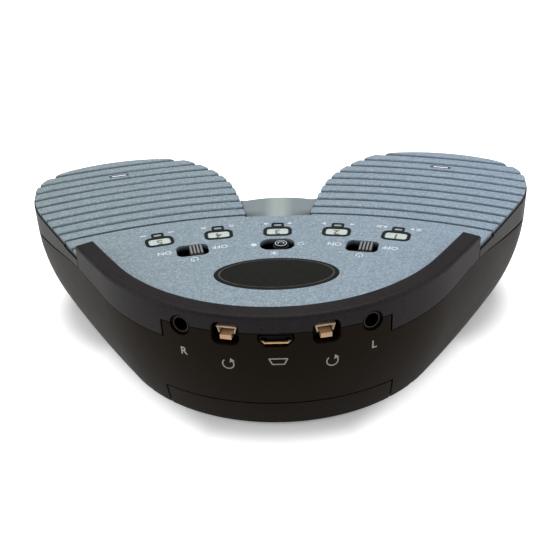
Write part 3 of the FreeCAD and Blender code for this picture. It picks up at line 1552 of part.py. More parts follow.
def contact(wall, tip, y, level):
    """Plate against the bay's end wall with a cone of wire, as a solid cone, to the cell."""
    inward = 1 if tip > wall else -1
    size = n.contact_width / 2
    thick = n.contact_thickness
    start = wall + inward * n.plate_gap
    low_x, high_x = sorted((start, start + inward * thick))
    plate = block((low_x, y - size, level - size), (high_x, y + size, level + size))
    base = FreeCAD.Vector(start + inward * thick, y, level)
    length = abs(tip - base.x)
    cone = Part.makeCone(n.cone_base, n.cone_tip, length, base, X_AXIS * inward)
    return plate.fuse(cone)


def add_screws():
    """Case screws from below and board screws from above."""
    case = []
    for x, y in SCREW_PLACES:
        seat = screw_seat()
        head = drum(n.screw_head_radius, seat - n.screw_head_height, seat, x, y)
        shank = drum(n.screw_thread_radius - n.rod_fit, seat, seat + n.screw_length, x, y)
        half = (n.driver_slot_length / 2, n.driver_slot_width / 2)
        top = seat - n.screw_head_height / 2
        slot = block((x - half[0], y - half[1], BOTTOM_Z), (x + half[0], y + half[1], top))
        case.append(head.fuse(shank).cut(slot))
    keep(feature("case_screws", Part.makeCompound(case)))
    board = []
    for x, y in BOARD_PLACES:
        head = drum(n.screw_head_radius, BOARD_Z, BOARD_Z + n.screw_head_height / 2, x, y)
        shank = drum(n.board_screw_radius, BOARD_BOTTOM - n.board_post_radius, BOARD_Z, x, y)
        board.append(head.fuse(shank))
    keep(feature("board_screws", Part.makeCompound(board)))


def add_lamp():
    """Lamp chip under the frosted lens."""
    lamp = Builder("light_lamp")
    lamp.pad(lamp.rectangle(lamp.sketch(), d.lamp_length, d.lamp_width), d.lamp_height)
    keep(place(lamp.body, 0.0, at_reach(d.tongue_reach - d.lamp_length), DECK - d.board_depth))


def write_pieces():
    """Checks every object, then writes each piece to its own file."""
    doc.recompute()
    for item in doc.Objects:
        if "Invalid" in item.State or "Error" in item.State:
            raise RuntimeError(f"{item.Label}: {item.State}")
    for piece in PIECES:
        shape = piece.Shape
        if shape.isNull() or not shape.isValid() or not shape.Solids:
            raise RuntimeError(f"{piece.Label}: shape is null, invalid or has no solid")
    os.makedirs("parts", exist_ok=True)
    for piece in PIECES:
        piece.Shape.exportStep(f"parts/{piece.Label}.step")
        box = piece.Shape.BoundBox
        print(piece.Label, len(piece.Shape.Solids), "solids", round(piece.Shape.Volume, 1), "mm3",
              [round(v, 1) for v in (box.XMin, box.YMin, box.ZMin, box.XMax, box.YMax, box.ZMax)])
    print(len(PIECES), "pieces")


add_shells()
add_badge()
add_rod()
add_feet()
add_pedal_switches()
add_board()
add_window_parts()
add_slide_switches()
add_ports()
add_cells()
add_screws()
add_lamp()
write_pieces()
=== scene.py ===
"""Looks of the page turner pedal: finishes, printed marks, small fittings, studio and camera.

Lengths are metres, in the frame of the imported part: +X towards the user's right-hand pedal,
+Y towards the rear wall with the ports, +Z up from the floor.
"""

from __future__ import annotations

import json
import logging
import math
from contextlib import contextmanager
from dataclasses import dataclass
from enum import Enum
from typing import Callable, Iterable, Iterator, Sequence

import bpy
from mathutils import Matrix, Vector

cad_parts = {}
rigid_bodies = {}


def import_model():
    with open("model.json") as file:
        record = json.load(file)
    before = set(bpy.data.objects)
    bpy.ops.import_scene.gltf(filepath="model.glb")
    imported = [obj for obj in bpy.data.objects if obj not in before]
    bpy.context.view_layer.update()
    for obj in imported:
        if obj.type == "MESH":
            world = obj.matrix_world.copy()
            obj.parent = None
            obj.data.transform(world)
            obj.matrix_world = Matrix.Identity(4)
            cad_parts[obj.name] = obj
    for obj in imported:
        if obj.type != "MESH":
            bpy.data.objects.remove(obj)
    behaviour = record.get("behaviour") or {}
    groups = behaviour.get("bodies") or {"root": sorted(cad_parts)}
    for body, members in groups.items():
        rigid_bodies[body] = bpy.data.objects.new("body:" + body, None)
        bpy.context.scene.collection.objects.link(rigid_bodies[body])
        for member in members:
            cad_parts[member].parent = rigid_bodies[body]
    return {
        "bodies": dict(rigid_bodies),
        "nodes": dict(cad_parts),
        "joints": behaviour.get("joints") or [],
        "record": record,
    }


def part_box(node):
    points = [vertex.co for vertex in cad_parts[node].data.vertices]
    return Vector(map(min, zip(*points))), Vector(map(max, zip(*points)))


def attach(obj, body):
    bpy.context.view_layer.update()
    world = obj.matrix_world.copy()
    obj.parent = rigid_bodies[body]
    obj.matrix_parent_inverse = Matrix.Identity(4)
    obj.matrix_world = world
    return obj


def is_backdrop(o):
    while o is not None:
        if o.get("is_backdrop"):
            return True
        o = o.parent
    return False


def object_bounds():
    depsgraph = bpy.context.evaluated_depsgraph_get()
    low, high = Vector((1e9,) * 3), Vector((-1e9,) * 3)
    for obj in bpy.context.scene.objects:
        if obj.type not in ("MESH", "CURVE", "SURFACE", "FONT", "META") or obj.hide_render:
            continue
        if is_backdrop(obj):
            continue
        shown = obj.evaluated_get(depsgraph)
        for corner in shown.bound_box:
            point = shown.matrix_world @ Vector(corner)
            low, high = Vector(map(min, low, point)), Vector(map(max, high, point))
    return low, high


Pair = tuple[float, float]
Triple = tuple[float, float, float]
Colour = tuple[float, float, float, float]
Piece = bpy.types.Object
Socket = bpy.types.NodeSocket
Material = bpy.types.Material

LOG = logging.getLogger("page_turner_pedal")
MM = 0.001
TABS = ((1, "a"), (-1, "b"))
SIDES = (("right", 1), ("left", -1))
RESETS = (("mode", 1), ("pairing", -1))


def linear(red: int, green: int, blue: int) -> Colour:
    """Turns a colour as seen on a screen, 0 to 255, into linear light."""
    def part(value: int) -> float:
        """Turns one part of the colour."""
        share = value / 255
        return share / 12.92 if share <= 0.04045 else ((share + 0.055) / 1.055) ** 2.4

    return part(red), part(green), part(blue), 1.0


def grey(level: float) -> Colour:
    """Neutral colour of a linear level."""
    return level, level, level, 1.0


class Signal:
    """A shader socket that takes part in Python arithmetic."""

    def __init__(self, tree: Tree, socket: Socket) -> None:
        """Wraps a socket of a tree."""
        self.tree = tree
        self.socket = socket

    def maths(self, operation: str, *others: Signal | float) -> Signal:
        """Adds a Math node with this signal as its first value."""
        return self.tree.maths(operation, self, *others)

    def __add__(self, other: Signal | float) -> Signal:
        """Sum."""
        return self.maths("ADD", other)

    def __sub__(self, other: Signal | float) -> Signal:
        """Difference."""
        return self.maths("SUBTRACT", other)

    def __rsub__(self, other: float) -> Signal:
        """Difference from a number."""
        return self.tree.maths("SUBTRACT", other, self)

    def __mul__(self, other: Signal | float) -> Signal:
        """Product."""
        return self.maths("MULTIPLY", other)

    __radd__ = __add__
    __rmul__ = __mul__

    def ramp(self, low: float, high: float) -> Signal:
        """Rises from nought at the low value to one at the high value."""
        return self.tree.maths("MULTIPLY", self - low, 1 / (high - low), clamp=True)

    def rise(self, low: float, high: float, amount: float) -> Signal:
        """Ramp that rises to an amount."""
        return self.ramp(low, high) * amount

    def waver(self, amount: float) -> Signal:
        """Spread about nought, for a signal about one half."""
        return (self - 0.5) * amount

    def size(self) -> Signal:
        """Absolute value."""
        return self.maths("ABSOLUTE")


class Tree:
    """Node tree that is built up with Python expressions."""

    def __init__(self, tree: bpy.types.NodeTree) -> None:
        """Empties the tree."""
        self.tree = tree
        tree.nodes.clear()

    def node(self, kind: str, settings: dict | None = None, values: dict | None = None) -> bpy.types.Node:
        """Adds any node.

        Args:
            kind: the node's type.
            settings: properties that are set first.
            values: values or signals for its sockets, by name or number.

        Returns:
            The node.
        """
        made = self.tree.nodes.new(kind)
        for name, setting in (settings or {}).items():
            setattr(made, name, setting)
        for name, value in (values or {}).items():
            self.feed(made.inputs[name], value)
        return made

    def feed(self, socket: Socket, value: object) -> None:
        """Links a signal or a socket to a socket, or sets the socket's own value."""
        if isinstance(value, Signal):
            self.tree.links.new(value.socket, socket)
        elif isinstance(value, Socket):
            self.tree.links.new(value, socket)
        else:
            socket.default_value = value

    def maths(self, operation: str, *values: Signal | float, clamp: bool = False) -> Signal:
        """Adds a Math node; a clamped result stays between nought and one."""
        settings = {"operation": operation, "use_clamp": clamp}
        made = self.node("ShaderNodeMath", settings, dict(enumerate(values)))
        return Signal(self, made.outputs[0])

    def rays(self, *kinds: str) -> Signal:
        """One for rays of any of these kinds."""
        paths = self.node("ShaderNodeLightPath").outputs
        found, *others = (Signal(self, paths[f"Is {kind} Ray"]) for kind in kinds)
        for other in others:
            found = found.maths("MAXIMUM", other)
        return found


class Recipe(Tree):
    """Node tree of one material around a Principled shader."""

    def __init__(self, name: str) -> None:
        """Starts a material of this name."""
        self.material = bpy.data.materials.new(name)
        self.material.use_nodes = True
        super().__init__(self.material.node_tree)
        self.shader = self.node("ShaderNodeBsdfPrincipled")
        self.node("ShaderNodeOutputMaterial", values={"Surface": self.shader.outputs["BSDF"]})

    def position(self) -> Socket:
        """Place on the object, in metres."""
        return self.node("ShaderNodeTexCoord").outputs["Object"]

    def axis(self, name: str) -> Signal:
        """One coordinate of the place on the object."""
        split = self.node("ShaderNodeSeparateXYZ", values={"Vector": self.position()})
        return Signal(self, split.outputs[name])

    def noise(self, feature: float, detail: float = 2.0, roughness: float = 0.5,
              place: Socket | None = None) -> Signal:
        """Cloudy noise about one half.

        Args:
            feature: size of its features in metres.
            detail: number of finer layers.
            roughness: strength of the finer layers.
            place: where it is looked up, or the place on the object.

        Returns:
            The noise.
        """
        values = {"Vector": self.position() if place is None else place, "Scale": 1 / feature,
                  "Detail": detail, "Roughness": roughness}
        return Signal(self, self.node("ShaderNodeTexNoise", values=values).outputs["Fac"])

    def flakes(self, cell: float) -> Signal:
        """Random value between nought and one for each small cell, by the cell's size in metres."""
        values = {"Vector": self.position(), "Scale": 1 / cell}
        cells = self.node("ShaderNodeTexVoronoi", {"feature": "F1"}, values)
        split = self.node("ShaderNodeSeparateColor", values={"Color": cells.outputs["Color"]})
        return Signal(self, split.outputs[0])

    def blend(self, share: Signal | float, first: object, second: object) -> Socket:
        """Mixes two colours or sockets, by the share of the second."""
        made = self.node("ShaderNodeMix", {"data_type": "RGBA"})
        for number, value in ((0, share), (6, first), (7, second)):
            self.feed(made.inputs[number], value)
        return made.outputs[2]

    def bump(self, height: Signal, depth: float) -> None:
        """Feeds a height pattern, of a depth in metres, into the shader's normal."""
        made = self.node("ShaderNodeBump", values={"Height": height, "Distance": depth, "Strength": 1.0})
        self.feed(self.shader.inputs["Normal"], made.outputs["Normal"])

    def set(self, **values: object) -> None:
        """Sets the shader's sockets; an underscore in a name stands for a space."""
        for name, value in values.items():
            self.feed(self.shader.inputs[name.replace("_", " ")], value)


@dataclass(frozen=True)
class Coating:
    """A finish: two colours mixed by a pattern, which also shows in roughness and relief."""

    name: str
    colour: Colour
    tint: Colour
    roughness: float = 0.3
    gloss: float = 0.5
    feature: float = 1.2 * MM
    detail: float = 3.0
    depth: float = 0.002 * MM
    span: Pair = (0.35, 0.65)
    spread: float = 0.12

    def material(self) -> Material:
        """Builds the material."""
        recipe = Recipe(self.name)
        self.fill(recipe)
        return recipe.material

    def pattern(self, recipe: Recipe) -> Signal:
        """Pattern that the finish is built on."""
        return recipe.noise(self.feature, self.detail)

    def share(self, recipe: Recipe, pattern: Signal) -> Signal:
        """How much of the second colour a place has."""
        return pattern.ramp(*self.span)

    def base(self, recipe: Recipe) -> object:
        """The first colour."""
        return self.colour

    def fill(self, recipe: Recipe) -> Signal:
        """Feeds the recipe's shader and returns the second colour's share."""
        pattern = self.pattern(recipe)
        share = self.share(recipe, pattern)
        recipe.set(Base_Color=recipe.blend(share, self.base(recipe), self.tint))
        recipe.set(Roughness=self.roughness + pattern.waver(self.spread), Specular_IOR_Level=self.gloss)
        recipe.bump(pattern, self.depth)
        return share


@dataclass(frozen=True)
class GrainedPlastic(Coating):
    """Moulded plastic with a fine spark-eroded grain."""

    roughness: float = 0.46
    gloss: float = 0.1
    feature: float = 0.35 * MM
    detail: float = 1.0
    depth: float = 0.012 * MM
    spread: float = 0.14
    cloud: float = 14.0 * MM
    cloud_span: Pair = (0.3, 0.7)
    cloud_share: float = 0.45
    cloud_spread: float = 0.04

    def fill(self, recipe: Recipe) -> Signal:
        """Mixes a cloudy tint with the grain."""
        cloud = recipe.noise(self.cloud).ramp(*self.cloud_span)
        fine = self.pattern(recipe)
        share = cloud * self.cloud_share + fine.ramp(*self.span) * (1 - self.cloud_share)
        recipe.set(Base_Color=recipe.blend(share, self.colour, self.tint), Specular_IOR_Level=self.gloss)
        recipe.set(Roughness=self.roughness + fine.waver(self.spread) + cloud.waver(self.cloud_spread))
        recipe.bump(fine, self.depth)
        return share


@dataclass(frozen=True, kw_only=True)
class FleckedPaint(Coating):
    """Metallic paint with fine light and dark flakes, and painted shade inside slots and grooves."""

    light: Colour
    dark: Colour
    # painted shade colours: one for grooves, one for the deepest slots
    sunk: Colour
    pit: Colour
    reach: float
    level: float
    roughness: float = 0.5
    gloss: float = 0.2
    metal: float = 0.1
    feature: float = 0.56 * MM
    depth: float = 0.006 * MM
    spread: float = 0.2
    flake: float = 0.28 * MM
    large_flake: float = 0.476 * MM
    light_flakes: Triple = (0.72, 1.0, 0.48)
    light_cloud: Triple = (0.5, 0.72, 0.34)
    dark_flakes: Triple = (0.70, 1.0, 0.26)
    dark_cloud: Triple = (0.5, 0.28, 0.42)
    groove_span: Pair = (0.05 * MM, 1.1 * MM)
    pit_span: Pair = (1.15 * MM, 1.6 * MM)

    def fill(self, recipe: Recipe) -> Signal:
        """Lays flakes over a tint that turns cooler across, and paints shade on what lies below the deck."""
        across = recipe.axis("X").ramp(self.reach, -self.reach)
        base = recipe.blend(across, self.colour, self.tint)
        small = recipe.flakes(self.flake)
        large = recipe.flakes(self.large_flake)
        cloud = recipe.noise(self.feature, self.detail, roughness=0.7)
        bright = small.rise(*self.light_flakes) + cloud.rise(*self.light_cloud)
        dull = large.rise(*self.dark_flakes) + cloud.rise(*self.dark_cloud)
        mixed = recipe.blend(bright, recipe.blend(dull, base, self.dark), self.light)
        # painted shade: slot walls and grooves go darker with depth below the deck, darkest in the deepest
        # slots
        shade_mask, pit_shade_mask = (recipe.axis("Z").ramp(self.level - near, self.level - far)
                         for near, far in (self.groove_span, self.pit_span))
        inside = recipe.blend(pit_shade_mask, self.sunk, self.pit)
        recipe.set(Base_Color=recipe.blend(shade_mask, mixed, inside), Specular_IOR_Level=self.gloss)
        recipe.set(Metallic=self.metal, Roughness=self.roughness + small.waver(self.spread))
        recipe.bump(cloud, self.depth)
        return across


@dataclass(frozen=True)
class PlainGloss(Coating):
    """Smooth plastic, print or lacquer with a faint unevenness, which may be given a painted glow."""

    glow: float = 0.0

    def fill(self, recipe: Recipe) -> Signal:
        """Adds the painted glow."""
        if self.glow:
            recipe.set(Emission_Color=self.colour, Emission_Strength=self.glow)
        return super().fill(recipe)


@dataclass(frozen=True)
class PlainMetal(Coating):
    """Plated or drawn metal with fine marks along one axis."""

    feature: float = 0.15 * MM
    detail: float = 2.0
    span: Pair = (0.3, 0.7)
    spread: float = 0.2
    stretch: Triple = (0.05, 1.0, 1.0)

    def pattern(self, recipe: Recipe) -> Signal:
        """Noise drawn out along X."""
        values = {"Vector": recipe.position(), "Scale": self.stretch}
        drawn = recipe.node("ShaderNodeMapping", {"vector_type": "POINT"}, values)
        return recipe.noise(self.feature, self.detail, place=drawn.outputs["Vector"])

    def fill(self, recipe: Recipe) -> Signal:
        """Makes it a metal."""
        recipe.set(Metallic=1.0)
        return super().fill(recipe)


@dataclass(frozen=True)
class BoardFinish(Coating):
    """Circuit board lacquer with faint tracks."""

    roughness: float = 0.4
    feature: float = 1.6 * MM
    depth: float = 0.02 * MM
    span: Pair = (0.0, 1.0)
    spread: float = 0.1
    row: float = 0.35
    line: float = 0.06

    def pattern(self, recipe: Recipe) -> Signal:
        """Tracks, as the joints of a brick pattern."""
        bricks = {"Vector": recipe.position(), "Scale": 1 / self.feature, "Row Height": self.row,
                  "Mortar Size": self.line}
        return Signal(recipe, recipe.node("ShaderNodeTexBrick", values=bricks).outputs["Fac"])


@dataclass(frozen=True)
class SpeckledShade(Coating):
    """Finish whose second colour comes in by place, broken up by a fine speckle."""

    roughness: float = 0.42
    gloss: float = 0.4
    feature: float = 0.3 * MM
    detail: float = 2.0
    depth: float = 0.004 * MM
    spread: float = 0.2
    speckle: Pair = (0.85, 0.3)

    def where(self, recipe: Recipe) -> Signal:
        """Share of the second colour by place alone."""
        raise NotImplementedError

    def share(self, recipe: Recipe, pattern: Signal) -> Signal:
        """Breaks the share by place up with the speckle."""
        least, more = self.speckle
        return self.where(recipe) * (least + pattern * more)


@dataclass(frozen=True, kw_only=True)
class RibbedKnob(SpeckledShade):
    """Knob plastic: dark in the hollows, with a painted highlight on the ridges."""

    level: float
    ridge: Pair = (-0.25 * MM, 0.1 * MM)

    def where(self, recipe: Recipe) -> Signal:
        """Painted highlight, more with height about the deck's level."""
        return recipe.axis("Z").ramp(*(self.level + height for height in self.ridge))


@dataclass(frozen=True, kw_only=True)
class FrostedLens(SpeckledShade):
    """Frosted cap of the lamp: milky, with a painted highlight down its middle and painted shade in its back
    corners.
    """

    # colour of the painted highlight down the middle
    band: Colour
    back: float
    roughness: float = 0.4
    gloss: float = 0.45
    feature: float = 0.5 * MM
    speckle: Pair = (0.8, 0.2)
    band_span: Pair = (1.2 * MM, 4.32 * MM)
    band_share: float = 0.8
    corner_span: Pair = (2.0 * MM, 9.0 * MM)
    corner_reach: float = 5.0 * MM
    scatter: Pair = (0.25, 2.0 * MM)

    def where(self, recipe: Recipe) -> Signal:
        """Painted shade, more towards both back corners."""
        shade_mask = recipe.axis("Y").ramp(self.back - self.corner_reach, self.back)
        return shade_mask * recipe.axis("X").size().ramp(*self.corner_span)

    def base(self, recipe: Recipe) -> Socket:
        """Milky colour with its painted highlight band."""
        glow = 1.0 - recipe.axis("X").size().ramp(*self.band_span)
        return recipe.blend(glow * self.band_share, self.colour, self.band)

    def fill(self, recipe: Recipe) -> Signal:
        """Lets some light spread inside."""
        recipe.set(Subsurface_Weight=self.scatter[0], Subsurface_Scale=self.scatter[1])
        return super().fill(recipe)


@dataclass(frozen=True, kw_only=True)
class SocketShell(SpeckledShade):
    """Socket shell: painted shade over the plating inside the socket, with the plated colour kept along its
    lower front edge.
    """

    front: float
    knee: float
    roughness: float = 0.45
    gloss: float = 0.06
    feature: float = 0.2 * MM
    depth: float = 0.003 * MM
    speckle: Pair = (0.8, 0.3)
    metal: float = 0.6
    front_span: Pair = (-0.6 * MM, -0.15 * MM)
    knee_span: Pair = (0.6 * MM, -0.05 * MM)

    def where(self, recipe: Recipe) -> Signal:
        """More at the front and below the knee."""
        ahead = recipe.axis("Y").ramp(*(self.front + step for step in self.front_span))
        return ahead * recipe.axis("Z").ramp(*(self.knee + step for step in self.knee_span))

    def fill(self, recipe: Recipe) -> Signal:
        """Makes the plated part metallic."""
        share = super().fill(recipe)
        recipe.set(Metallic=share * self.metal)
        return share


Finish = Enum("Finish", {name.upper(): name for name in (
    "case", "rim", "frame", "deck", "badge", "lens", "bezel", "window", "status_lens", "knob", "steel",
    "rubber", "board", "chip", "shield", "usb_shell", "jack", "bracket", "button", "lamp", "cell", "contact",
    "print", "digit", "letter", "dash", "recess", "border", "housing", "jack_ring", "knob_cap")})


class Palette:
    """Every material, made once and looked up by its finish."""

    def __init__(self, layout: Layout, half_width: float) -> None:
        """Builds the materials.

        Args:
            layout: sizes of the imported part.
            half_width: half the object's width.
        """
        deck = layout.deck
        split_y = layout.rear_y - layout.split_reach
        port_front = layout.rear_y - layout.port_recess
        socket_knee = deck - layout.socket_knee_depth
        recipes = {
            Finish.CASE: GrainedPlastic("case_plastic", linear(24, 17, 8), linear(30, 22, 12), gloss=0.05),
            Finish.RIM: GrainedPlastic(
                "rim_plastic", linear(31, 28, 30), linear(45, 41, 43), feature=0.6 * MM, depth=0.03 * MM),
            Finish.FRAME: GrainedPlastic("frame_plastic", linear(38, 36, 35), linear(46, 43, 42)),
            Finish.DECK: FleckedPaint(
                "deck_paint", linear(132, 148, 152), linear(142, 160, 178), light=linear(196, 207, 214),
                # the groove and pit colours are painted shade inside grooves and slots
                dark=linear(92, 106, 118), sunk=linear(60, 72, 84), pit=linear(30, 22, 22),
                reach=half_width, level=deck),
            Finish.BADGE: PlainGloss("badge_lacquer", linear(20, 20, 18), linear(25, 25, 23), 0.3, 0.12),
            Finish.LENS: FrostedLens(
                # the lens's second colour is painted shade for its back corners, and its band a painted
                # highlight
                "frosted_lens", linear(130, 142, 146), linear(58, 60, 62),
                band=linear(168, 178, 174), back=split_y),
            Finish.BEZEL: PlainGloss("bezel_plastic", linear(20, 22, 25), linear(27, 29, 32), 0.4, 0.15),
            Finish.WINDOW: PlainGloss("window_cap", linear(190, 204, 200), linear(202, 214, 209), gloss=0.3),
            Finish.STATUS_LENS: PlainGloss("light_pipe", linear(150, 164, 168), linear(166, 178, 180)),
            # the knob's second colour is a painted highlight on the ridges
            Finish.KNOB: RibbedKnob("knob_plastic", linear(30, 29, 30), linear(136, 137, 136), level=deck),
            Finish.STEEL: PlainMetal("bright_steel", linear(176, 176, 178), linear(198, 198, 200)),
            Finish.RUBBER: GrainedPlastic("foot_rubber", linear(28, 28, 28), linear(36, 36, 36), 0.75),
            Finish.BOARD: BoardFinish("board_lacquer", linear(12, 36, 24), linear(20, 54, 36)),
            Finish.CHIP: PlainGloss("chip_package", linear(26, 26, 28), linear(34, 34, 36), 0.5, 0.3),
            Finish.SHIELD: PlainMetal("tinned_shield", linear(150, 150, 148), linear(176, 176, 172), 0.4),
            Finish.USB_SHELL: SocketShell(
                # the near-black first colour is painted shade over the plating; the plated colour stays on
                # the lower front edge
                "socket_plating", linear(7, 7, 7), linear(228, 188, 132), front=port_front, knee=socket_knee),
            Finish.JACK: PlainGloss("jack_plastic", linear(6, 6, 5), linear(10, 9, 8), 0.45, 0.04),
            Finish.BRACKET: PlainGloss("bracket_cream", linear(230, 204, 170), linear(238, 214, 182)),
            Finish.BUTTON: PlainGloss("plunger_tan", linear(234, 186, 142), linear(244, 200, 156), gloss=0.4),
            Finish.LAMP: PlainGloss("lamp_package", linear(230, 228, 206), linear(240, 238, 222), 0.3, 0.5),
            Finish.CELL: PlainGloss("cell_wrap", linear(52, 60, 70), linear(60, 68, 78), 0.25, 0.5),
            Finish.CONTACT: PlainMetal("nickel_plating", linear(188, 186, 180), linear(208, 206, 200)),
            Finish.PRINT: PlainGloss("white_print", linear(206, 216, 224), linear(218, 226, 232), 0.5, 0.2),
            Finish.DIGIT: PlainGloss("grey_print", linear(112, 112, 104), linear(128, 126, 116), 0.5, 0.2),
            Finish.LETTER: PlainGloss("pale_print", linear(170, 164, 154), linear(184, 178, 168), 0.5, 0.2),
            # the dash is given a painted glow; it is no lamp
            Finish.DASH: PlainGloss("lit_dash", linear(226, 222, 250), linear(244, 240, 255), glow=0.25),
            Finish.RECESS: PlainGloss("recess_shadow", linear(62, 70, 84), linear(70, 78, 92), 0.5, 0.2),
            Finish.BORDER: PlainGloss("badge_border", linear(62, 62, 60), linear(74, 74, 72), 0.3, 0.2),
            Finish.HOUSING: PlainGloss("switch_housing", linear(24, 24, 24), linear(32, 31, 30), 0.5, 0.15),
            Finish.JACK_RING: PlainGloss("jack_ring", linear(50, 47, 44), linear(62, 58, 54), 0.35, 0.2),
            Finish.KNOB_CAP: PlainGloss("knob_cap", linear(26, 26, 27), linear(34, 33, 34), 0.45, 0.15),
        }
        self.materials = {finish: recipe.material() for finish, recipe in recipes.items()}

    def of(self, finish: Finish) -> Material:
        """Material of a finish."""
        return self.materials[finish]


@contextmanager
def editing() -> Iterator[None]:
    """Edit mode of the active piece, while the block runs."""
    bpy.ops.object.mode_set(mode="EDIT")
    yield
    bpy.ops.object.mode_set(mode="OBJECT")


class Bench:
    """Modelling steps on one new piece at a time, through Blender's operators."""

    capital_share = 0.7
    letter_weight = 0.025
    ring_sides = 72
    smooth_angle = math.radians(35)

    @staticmethod
    def clear() -> None:
        """Leaves edit mode and deselects everything."""
        if bpy.context.object and bpy.context.object.mode != "OBJECT":
            bpy.ops.object.mode_set(mode="OBJECT")
        bpy.ops.object.select_all(action="DESELECT")

    @classmethod
    def take(cls, piece: Piece) -> Piece:
        """Makes one piece the only selected and active one."""
        cls.clear()
        piece.select_set(True)
        bpy.context.view_layer.objects.active = piece
        return piece

    @classmethod
    def add(cls, name: str, operator: Callable[..., object], **settings: object) -> Piece:
        """Adds a piece with one of Blender's operators and the operator's settings."""
        cls.clear()
        operator(**settings)
        piece = bpy.context.object
        piece.name = name
        return piece

    @classmethod
    def box(cls, name: str, size: Sequence[float], centre: Sequence[float] = (0, 0, 0)) -> Piece:
        """Adds a box, by its lengths along X, Y and Z and the place of its middle."""
        piece = cls.add(name, bpy.ops.mesh.primitive_cube_add, size=1.0, location=centre)
        piece.scale = size
        return cls.settle(piece)

    @classmethod
    def disc(cls, name: str, radius: float, thickness: float, sides: int = 48) -> Piece:
        """Adds a flat disc, or a regular shape of few sides, that rises from Z = 0."""
        circle = bpy.ops.mesh.primitive_circle_add
        return cls.thicken(cls.add(name, circle, vertices=sides, radius=radius, fill_type="NGON"), thickness)

    @classmethod
    def ring(cls, name: str, outer: float, inner: float, thickness: float, gap: float = 0.0) -> Piece:
        """Adds a flat ring, open over an angle at its +Y side.

        Args:
            name: the piece's name.
            outer: outer radius.
            inner: inner radius.
            thickness: height above Z = 0.
            gap: width of the opening in degrees.

        Returns:
            The piece.
        """
        circle = bpy.ops.mesh.primitive_circle_add
        piece = cls.add(name, circle, vertices=cls.ring_sides, radius=outer, fill_type="NOTHING")
        with editing():
            bpy.ops.mesh.extrude_edges_move()
            bpy.ops.transform.resize(value=(inner / outer, inner / outer, 1.0), center_override=(0, 0, 0))
        if gap:
            for face in piece.data.polygons:
                angle = math.degrees(math.atan2(face.center.x, face.center.y))
                face.select = abs(angle) < gap / 2
            with editing():
                bpy.ops.mesh.select_mode(type="FACE")
                bpy.ops.mesh.delete(type="FACE")
        return cls.thicken(piece, thickness)

    @classmethod
    def words(cls, name: str, text: str, height: float, thickness: float) -> Piece:
        """Adds a short mark in plain letters or digits, centred on its origin.

        Args:
            name: the piece's name.
            text: what it says.
            height: height of a capital.
            thickness: how far it stands up from Z = 0.

        Returns:
            The piece.
        """
        piece = cls.add(name, bpy.ops.object.text_add)
        piece.data.body = text
        piece.data.align_x = "CENTER"
        piece.data.align_y = "CENTER"
        piece.data.size = height / cls.capital_share
        piece.data.extrude = thickness / 2
        piece.data.offset = height * cls.letter_weight
        piece.data.resolution_u = 4
        cls.take(piece)
        bpy.ops.object.convert(target="MESH")
        return cls.move(bpy.context.object, (0, 0, thickness / 2))

    @classmethod
    def thicken(cls, piece: Piece, thickness: float) -> Piece:
        """Extrudes a flat piece upwards and turns its faces outwards."""
        cls.take(piece)
        with editing():
            bpy.ops.mesh.select_all(action="SELECT")
            bpy.ops.mesh.extrude_region_move(TRANSFORM_OT_translate={"value": (0, 0, thickness)})
            bpy.ops.mesh.select_all(action="SELECT")
            bpy.ops.mesh.normals_make_consistent(inside=False)
        return piece

    @classmethod
    def divide(cls, piece: Piece, cuts: int) -> Piece:
        """Cuts every edge of the piece into equal parts."""
        cls.take(piece)
        with editing():
            bpy.ops.mesh.select_all(action="SELECT")
            bpy.ops.mesh.subdivide(number_cuts=cuts)
        return piece

    @classmethod
    def settle(cls, piece: Piece) -> Piece:
        """Puts the piece's place, turn and scale into its mesh."""
        cls.take(piece)
        bpy.ops.object.transform_apply(location=True, rotation=True, scale=True)
        return piece

    @classmethod
    def move(cls, piece: Piece, way: Sequence[float]) -> Piece:
        """Moves the piece's mesh."""
        piece.location = way
        return cls.settle(piece)

    @classmethod
    def place(cls, piece: Piece, matrix: Matrix) -> Piece:
        """Moves and turns the piece's mesh by a matrix."""
        piece.matrix_world = matrix
        return cls.settle(piece)

    @classmethod
    def soften(cls, piece: Piece, width: float, segments: int = 2) -> Piece:
        """Rounds the piece's sharp edges with a bevel and applies it."""
        cls.take(piece)
        bevel = piece.modifiers.new("edge", "BEVEL")
        bevel.width = width
        bevel.segments = segments
        bevel.limit_method = "ANGLE"
        bpy.ops.object.modifier_apply(modifier=bevel.name)
        bpy.ops.object.shade_smooth_by_angle(angle=cls.smooth_angle)
        return piece

    @classmethod
    def join(cls, name: str, pieces: Sequence[Piece]) -> Piece:
        """Joins pieces into the first, under a name."""
        cls.take(pieces[0])
        for piece in pieces[1:]:
            piece.select_set(True)
        bpy.ops.object.join()
        pieces[0].name = name
        return pieces[0]

    @classmethod
    def bend(cls, piece: Piece, rule: Callable[[Vector], Vector]) -> Piece:
        """Moves each vertex of the piece by a rule."""
        for vertex in piece.data.vertices:
            vertex.co = rule(vertex.co)
        piece.data.update()
        return piece


